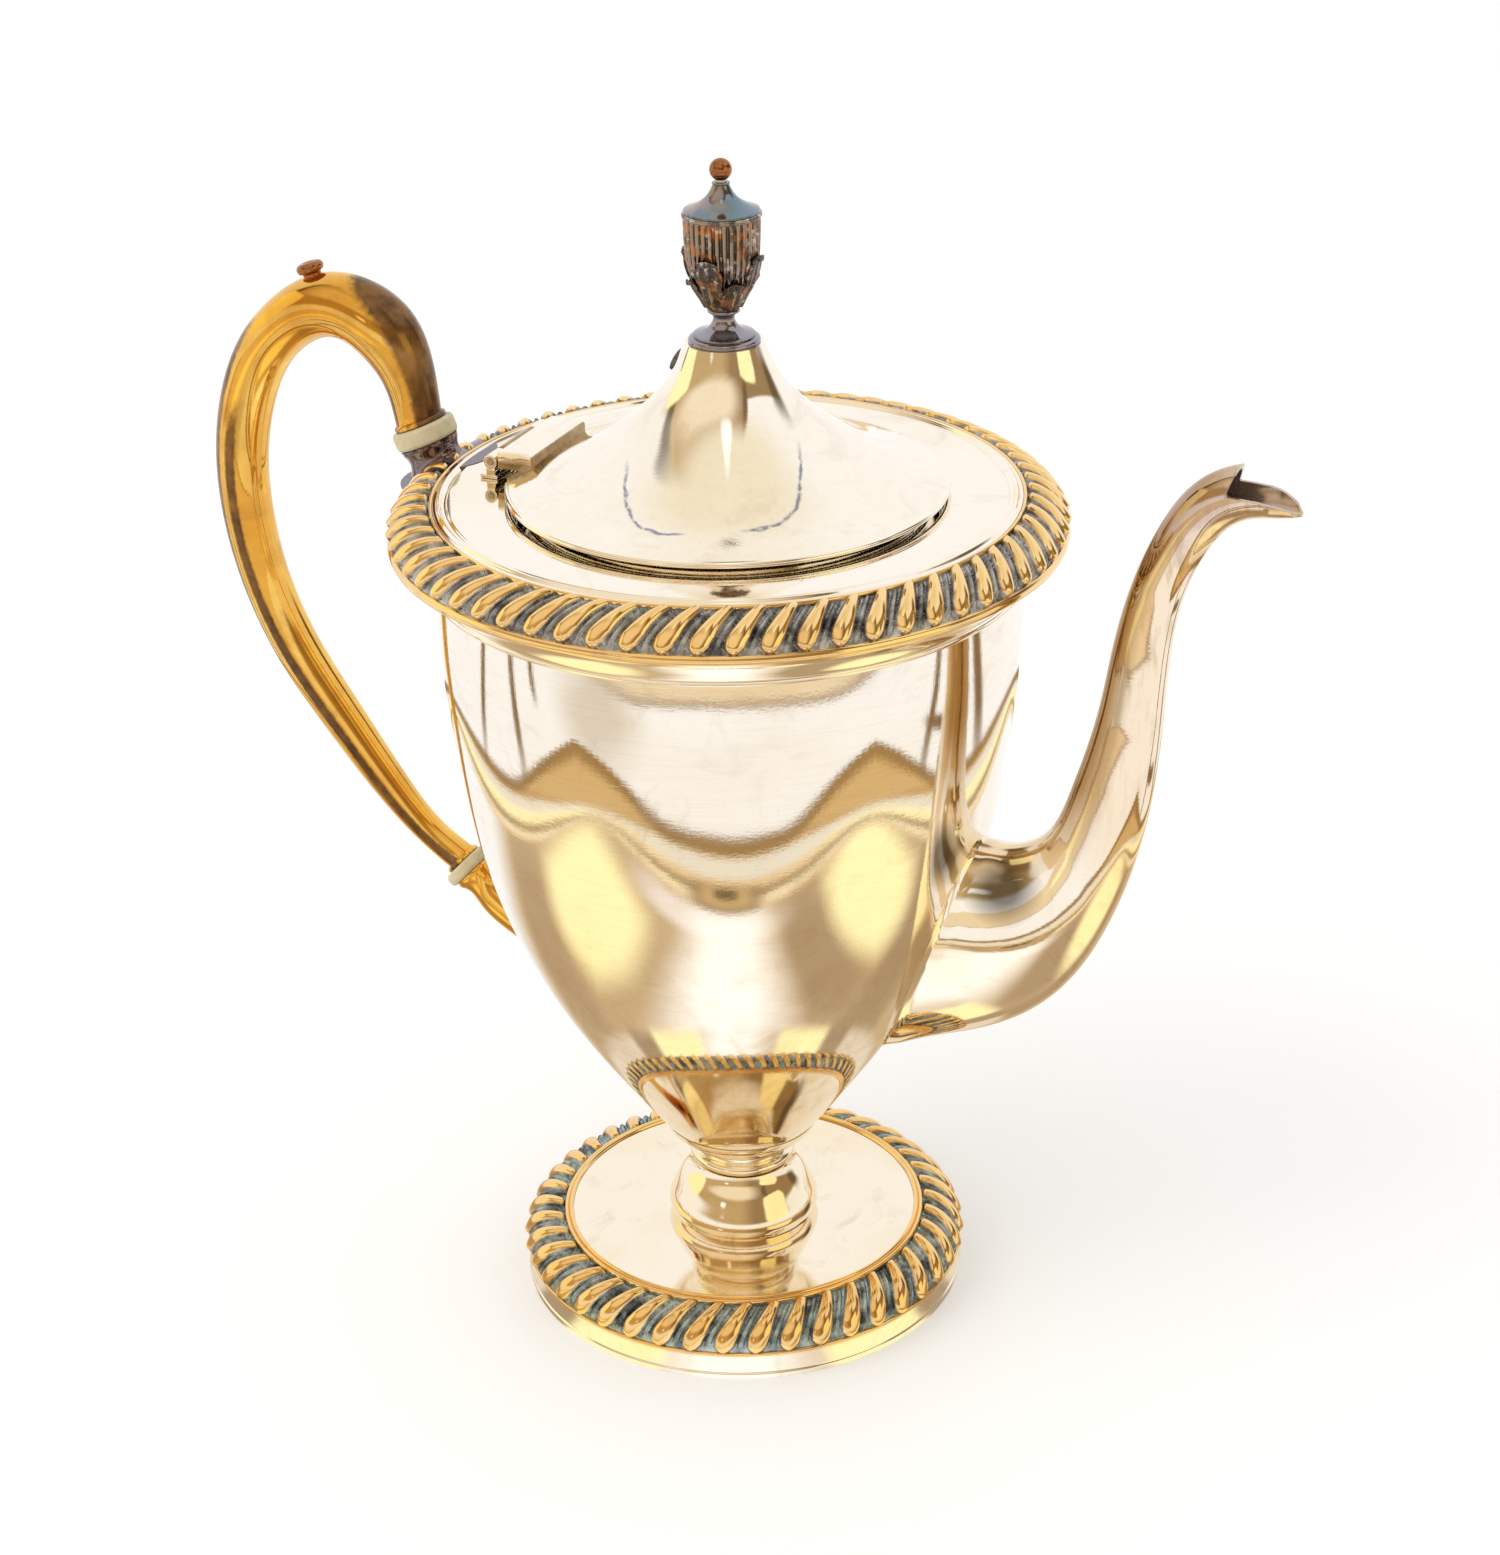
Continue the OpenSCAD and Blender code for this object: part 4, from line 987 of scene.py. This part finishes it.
def leaf(blade, middle, half_width, lobes):
    """Points, faces and recess mask of an acanthus leaf up the bowl, lobed along its edges and ribbed."""
    across, n = 21, len(blade)
    verts, patina_and_painted_shade, faces = [], [], []
    for front in (True, False):
        for i, (r, z) in enumerate(blade):
            v = i / (n - 1)
            taper = math.sin(math.pi * min(1.0, 0.16 + 0.84 * v) ** 0.8) ** 0.6
            half = half_width * taper * (0.78 + 0.30 * abs(math.sin(lobes * math.pi * v)))
            for k in range(across):
                u = 2 * k / (across - 1) - 1
                rib = math.exp(-((u / 0.13) ** 2)) + 0.55 * math.exp(-(((abs(u) - 0.62) / 0.13) ** 2))
                lift = 0.25 + 0.42 * rib * (1 - 0.4 * v) + 0.15 * abs(u) ** 4 * v
                drop = 0.9 * v * v * u * u + (0 if front else 0.1)
                verts.append(polar(r + (lift if front else -0.25), middle + u * half / max(r, 3.0), z - drop))
                patina_and_painted_shade.append(0.15 + 0.6 * rib)
    front, back = (np.arange(n * across).reshape(n, across) + side * n * across for side in (0, 1))
    for i in range(n - 1):
        for k in range(across - 1):
            faces.append((front[i][k], front[i][k + 1], front[i + 1][k + 1], front[i + 1][k]))
            faces.append((back[i][k + 1], back[i][k], back[i + 1][k], back[i + 1][k + 1]))
        for k in (0, across - 1):
            faces.append((front[i][k], front[i + 1][k], back[i + 1][k], back[i][k]))
    for k in range(across - 1):
        faces.append((front[0][k], front[0][k + 1], back[0][k + 1], back[0][k]))
        faces.append((front[-1][k + 1], front[-1][k], back[-1][k], back[-1][k + 1]))
    return verts, faces, patina_and_painted_shade


def finial_leaves():
    """Four tall leaves and, between them, four short ones, with tips that curl outward."""
    tall = spline([(3.7, 234.0), (5.2, 236.8), (6.65, 239.6), (7.6, 242.4), (7.95, 244.4), (8.3, 245.4),
                   (8.6, 245.6), (8.7, 245.2)], 8)
    short = spline([(3.65, 233.9), (5.1, 236.4), (6.4, 238.6), (7.1, 240.0), (7.5, 240.4), (7.6, 240.1)], 7)
    verts, faces, patina_and_painted_shade = [], [], []
    for quarter in range(4):
        middle = quarter * math.pi / 2
        for more in (leaf(tall, middle, 3.0, 3.5), leaf(short, middle + math.pi / 4, 2.4, 2.5)):
            faces += [tuple(int(i) + len(verts) for i in face) for face in more[1]]
            verts += more[0]
            patina_and_painted_shade += more[2]
    return make("finial_leaves_skin", verts, faces, 60, patina_and_painted_shade)


def finial_cap():
    """A low ogee roof that ends in a neck under the ball."""
    outline = [(STUD_BORE, CAP_Z), (URN_R - 0.5, CAP_Z)]
    outline += spline([(7.9, CAP_Z + 0.4), (6.6, 254.9), (4.8, 255.8), (3.1, 257.2), (2.1, 258.8),
                       (1.75, 259.6)], 8)
    outline += arc((1.8, 259.65), (1.75, 260.1), -0.15, 4)
    return turned("finial_cap_skin", outline + [(STUD_BORE, 260.1)], cols=128)


def finial_ball():
    """The ball, flat where it sits on the cap."""
    low = math.acos(STUD_BORE / BALL_R)
    turn = np.linspace(-low, math.pi / 2, 40)
    outline = [(BALL_R * math.cos(a), BALL_Z + BALL_R * math.sin(a)) for a in turn]
    return turned("finial_ball_skin", outline + [(STUD_BORE, BALL_Z)], cols=96)


wear(finial_base(), "lid", BASE, "dark_tarnished_plate", "finial_base")
wear(finial_urn(), "lid", FINIAL, "dark_tarnished_plate", "finial_urn")
wear(finial_leaves(), "lid", FINIAL, "dark_tarnished_plate", "finial_leaves")
wear(finial_cap(), "lid", BLUED, "dark_tarnished_plate", "finial_cap")
wear(finial_ball(), "lid", COPPER, "amber_toned_plate", "finial_ball")

for node in ("handle_pins", "hinge_pin", "finial_stud", "finial_washer", "finial_nut"):
    obj = frame["nodes"][node]
    obj.data.materials.clear()
    obj.data.materials.append(STEEL)

# ---- Studio ----


def camera():
    """The photo's viewpoint."""
    data = bpy.data.cameras.new("camera")
    data.sensor_width, data.lens, data.clip_start, data.clip_end = 36, 76.2, 0.02, 50
    cam = bpy.data.objects.new("camera", data)
    bpy.context.scene.collection.objects.link(cam)
    right = LOOK.cross(Vector((0, 0, 1))).normalized()
    right = (right - ROLL * right.cross(LOOK)).normalized()
    turn = Matrix((right, right.cross(LOOK), -LOOK)).transposed()
    cam.matrix_world = Matrix.Translation(CAMERA_AT) @ turn.to_4x4()
    bpy.context.scene.camera = cam


def staged(name, verts, faces, material):
    """A mesh of the surroundings, from points in metres."""
    mesh = bpy.data.meshes.new(name)
    mesh.from_pydata([tuple(v) for v in verts], [], faces)
    mesh.materials.append(material)
    mesh.shade_smooth()
    obj = bpy.data.objects.new(name, mesh)
    bpy.context.scene.collection.objects.link(obj)
    return obj


def floor():
    """The pale floor that catches the shadow. The metal sees the painted table in its place."""
    material = Graph("pale_floor").finish({"Base Color": (0.96, 0.955, 0.945, 1.0), "Roughness": 0.9})
    corners = [(-4, -4, -0.0001), (4, -4, -0.0001), (4, 4, -0.0001), (-4, 4, -0.0001)]
    staged("floor", corners, [(0, 1, 2, 3)], material).visible_glossy = False


def glow(name):
    """Light of the colour painted on the mesh."""
    g = Graph(name)
    paint = g.node("ShaderNodeAttribute", attribute_name="paint").outputs["Color"]
    light = g.node("ShaderNodeEmission", {"Color": paint, "Strength": 1.0})
    g.node("ShaderNodeOutputMaterial", {"Surface": light.outputs["Emission"]})
    g.material.cycles.emission_sampling = "NONE"
    return g.material


def reflected(name, verts, faces, colours):
    """A painted, glowing mesh that shows only in reflections."""
    obj = staged(name, verts, faces, glow(name + "_glow"))
    layer = obj.data.attributes.new("paint", "FLOAT_COLOR", "POINT")
    rgba = np.hstack([colours, np.ones((len(colours), 1))])
    layer.data.foreach_set("color", rgba.astype(np.float32).ravel())
    obj.visible_camera = obj.visible_diffuse = obj.visible_shadow = False
    obj.visible_transmission = obj.visible_volume_scatter = False


def patch(u, v, at, size, soft):
    """1 inside the rounded box of half size size at the point at, falling to 0 over soft."""
    across, up = np.abs(u - at[0]) / size[0], np.abs(v - at[1]) / size[1]
    return 1 - step(0.5 * np.maximum(across, up) + 0.5 * np.hypot(across, up), 1 - soft, 1 + soft)


def band(value, at, half, soft):
    """1 where value is within half of at, falling to 0 over soft."""
    return 1 - step(np.abs(value - at), half, half + soft)


def superellipse(x, y, at, size, power):
    """1 on the edge of a rounded rectangle, less inside it."""
    return (np.abs((x - at[0]) / size[0]) ** power + np.abs((y - at[1]) / size[1]) ** power) ** (1 / power)


def flat(colour, like):
    """The same colour at every point of like."""
    return np.tile(np.array(colour), (len(like), 1))


def blend(base, colour, share):
    """base turned into colour by share, point by point."""
    return base + (np.array(colour) - base) * share[:, None]


def dab(colour, u, v, patches):
    """The colour with each of the patches, given as (paint, share, at, size, soft), laid over it in turn."""
    for paint, share, *place in patches:
        colour = blend(colour, paint, share * patch(u, v, *place))
    return colour


CREAM, WHITE, PINK, SUN = (1.05, 1.04, 1.05), (1.35, 1.35, 1.35), (1.02, 0.93, 0.86), (1.20, 1.10, 0.62)
GOLD, BROWN, DARK = (0.70, 0.48, 0.22), (0.36, 0.24, 0.12), (0.13, 0.09, 0.05)


def room():
    """The dome that shows in the polished metal: pale walls, two windows, a dim room behind the camera."""
    rows, cols, radius = 150, 300, 2.6
    up = np.repeat(np.linspace(-0.02, math.pi / 2, rows), cols)
    about = np.tile(round_angles(cols), rows)
    verts = radius * np.stack([np.cos(up) * np.cos(about), np.cos(up) * np.sin(about), np.sin(up)], 1)
    # In degrees: a is 0 behind the camera and grows to its right, e is the height above the table.
    a, e = (np.degrees(about - FRONT) + 180) % 360 - 180, np.degrees(up)
    colour = blend(flat(CREAM, a), (0.95, 0.88, 0.72), step(e, 50, 75))
    # The dim half of the room runs round behind the camera, and narrows upward.
    left, right = np.interp(e, (30, 45), (-128, -112)), np.interp(e, (30, 48), (118, 52))
    dim = step(a, left, left + 12) * (1 - step(a, right - 8, right)) * step(e, 10, 17) * (1 - step(e, 60, 78))
    colour = blend(colour, (0.60, 0.43, 0.22), dim)
    colour = blend(colour, BROWN, dim * step(a, -10, 20) * (1 - 0.4 * step(e, 45, 70)))
    colour = dab(colour, a, e, (
        (DARK, 0.85, (110, 24), (9, 16), 0.5), (DARK, 0.8, (-110, 44), (5, 18), 0.5),
        (DARK, 0.7, (44, 50), (5, 16), 0.5), ((0.98, 0.85, 0.66), 1, (-36, 50), (62, 16), 0.3),
        (WHITE, 1, (-36, 23), (4, 3), 0.5), (WHITE, 1, (0, 76), (14, 10), 0.4),
        *((SUN, 1, (window, 21), (20, 13), 0.12) for window in (-104, 54))))
    reflected("reflected_room", verts, ring_faces(rows, cols), colour)


# The table is painted in millimetres, with x to the camera's right and -y toward the camera; far is the
# distance from the pot's axis and bearing the angle from the camera's direction, in degrees to the right.


def cloth(x, y, far, bearing):
    """A bright cloth that ends at the table's near edge, in front of a warm floor."""
    beyond = step(np.hypot(x * 0.9, y + 40), 690, 760) * step(-y, -250, 0)
    colour = blend(flat(CREAM, x), (0.74, 0.52, 0.26), beyond)
    past_edge = far - 412 - 0.06 * np.clip(np.abs(bearing) - 30, 0, 60) ** 2
    near_side = step(-y, 0, 80)
    colour = blend(colour, (0.92, 0.76, 0.52), step(past_edge, 0, 10) * near_side)
    colour = blend(colour, (0.36, 0.22, 0.09), 0.85 * band(past_edge, 0, 3, 7) * near_side)
    bars = (((-400, 105), (130, 9)), ((-400, -15), (130, 9)), ((420, 92), (170, 18)), ((400, -68), (150, 9)),
            ((318, -20), (12, 60)), ((-430, -90), (60, 8)))
    return dab(colour, x, y, (
        (BROWN, 0.9, (560, -385), (210, 110), 0.5), (SUN, 1, (-625, -385), (130, 220), 0.3),
        ((0.70, 0.62, 0.50), 0.75, (-290, -240), (90, 80), 0.6),
        *(((0.26, 0.16, 0.07), 1, at, size, 0.4) for at, size in bars)))


def tray_border(x, share):
    """The raised border of the square; share runs from 0 at its outer edge to 1 at its inner one."""
    colour = blend(flat((0.90, 0.68, 0.40), x), (0.60, 0.38, 0.15), band(share, 0.07, 0.07, 0.09))
    colour = blend(colour, (0.92, 0.86, 0.74), band(share, 0.36, 0.10, 0.12))
    colour = blend(colour, SUN, 0.8 * step(np.abs(x), 60, 220) * band(share, 0.55, 0.08, 0.10))
    colour = blend(colour, BROWN, 0.75 * band(share, 0.76, 0.05, 0.07))
    return blend(colour, (1.0, 0.9, 0.62), 0.9 * band(share, 0.90, 0.04, 0.05))


def drape(colour, beyond, bearing):
    """The dark outline of the square, which climbs to a ragged peak at each of the two near corners.

    beyond is the distance past the square's outer edge."""
    peak = np.zeros(len(beyond))
    for at, tall in ((-60, 78), (53, 66)):
        peak = np.maximum(peak, tall * np.clip(1 - np.abs(bearing - at) / 36, 0, 1) ** 1.7)
    peak = peak * (1 - 0.10 * np.abs((bearing / 1.3) % 2 - 1))
    inside = (1 - step(beyond - peak, -1.5, 1.5)) * step(beyond, -2, 0)
    colour = blend(colour, (0.74, 0.50, 0.23), inside)
    colour = blend(colour, (0.40, 0.24, 0.08), inside * step(beyond, 0.4 * peak, 0.75 * peak + 0.1))
    return blend(colour, (0.34, 0.20, 0.07), 0.9 * band(beyond - peak, -1, 2.5, 6))


def tray_floor(x, y):
    """The smoky floor of the square, with soft dark and bright patches and two bright windows."""
    colour = blend(flat((0.66, 0.49, 0.29), x), CREAM, step(y, 45, 120))
    return dab(colour, x, y, (
        ((0.44, 0.31, 0.18), 0.85, (130, -14), (90, 26), 0.4),
        ((0.50, 0.36, 0.22), 0.8, (-138, 24), (80, 34), 0.5),
        ((0.46, 0.33, 0.20), 0.85, (72, -106), (30, 66), 0.4),
        (PINK, 0.9, (-40, -158), (80, 12), 0.5),
        (WHITE, 0.85, (-10, -104), (42, 72), 0.6),
        (SUN, 1, (-152, -80), (62, 62), 0.3),
        (SUN, 1, (152, -105), (50, 64), 0.3)))


def small_pot(colour, x, y):
    """A small vessel that stands on the near side of the square."""
    return dab(colour, x, y, (
        (BROWN, 0.85, (-14, -181), (46, 12), 0.3), (GOLD, 0.9, (-14, -183), (32, 8), 0.4),
        (DARK, 0.9, (-14, -185), (15, 4), 0.5)))


def round_foot(far, bearing):
    """Close to the foot the skirt sees the windows again, between dark bars."""
    colour = flat((0.86, 0.74, 0.58), far)
    for hand in (-1, 1):
        colour = dab(colour, hand * bearing, far, ((SUN, 1, (40, 50), (17, 60), 0.15),
                                                   (BROWN, 0.8, (64, 50), (9, 60), 0.3)))
    return dab(colour, bearing, far, ((WHITE, 0.8, (-4, 50), (16, 60), 0.6),))


def table():
    """The table top as the polished metal shows it, in a grid that is finer round the pot."""
    n = 560
    line = np.interp(np.linspace(-1, 1, n), [-1, -0.86, 0.86, 1], [-2.6, -0.46, 0.46, 2.6])
    right, back = (q.ravel() for q in np.meshgrid(line, line))
    verts = np.stack([-FRONT_Y * right - FRONT_X * back, FRONT_X * right - FRONT_Y * back,
                      np.full(n * n, -0.0002)], 1)
    faces = [(j * n + i, j * n + i + 1, (j + 1) * n + i + 1, (j + 1) * n + i)
             for j in range(n - 1) for i in range(n - 1)]
    x, y = right / MM, back / MM
    far, bearing = np.hypot(x, y), np.degrees(np.arctan2(x, -y))
    outer = superellipse(x, y, (0, 60), (264, 284), 2.45)
    inner = superellipse(x, y, (-3, 55), (217, 229), 4.6)
    share = np.clip((1 - outer) / np.maximum((1 - outer) + np.maximum(inner - 1, 0) * 0.85, 1e-6), 0, 1)
    colour = cloth(x, y, far, bearing)
    colour = blend(colour, tray_border(x, share), 1 - step(outer, 0.995, 1.005))
    colour = drape(colour, (outer - 1) * far, bearing)
    colour = blend(colour, tray_floor(x, y), 1 - step(inner, 0.985, 1.0))
    colour = small_pot(colour, x, y)
    colour = blend(colour, round_foot(far, bearing), 1 - step(far, 62, 74))
    reflected("reflected_table", verts, faces, colour)


def key_light():
    data = bpy.data.lights.new("key", "AREA")
    data.shape, data.size, data.energy, data.color = "SQUARE", 1.2, 9, (1.0, 0.97, 0.92)
    lamp = bpy.data.objects.new("key", data)
    bpy.context.scene.collection.objects.link(lamp)
    lamp.location = (-0.9, -1.0, 1.6)
    lamp.rotation_euler = (Vector((0, 0, 0.1)) - lamp.location).to_track_quat("-Z", "Y").to_euler()
    lamp.visible_glossy = False


def world():
    pale = bpy.data.worlds.new("studio")
    pale.use_nodes = True
    background = pale.node_tree.nodes["Background"]
    background.inputs["Color"].default_value = (1.0, 0.997, 0.99, 1.0)
    background.inputs["Strength"].default_value = 1.03
    bpy.context.scene.world = pale
    bpy.context.scene.view_settings.view_transform = "Standard"


camera()
room()
table()
floor()
key_light()
world()
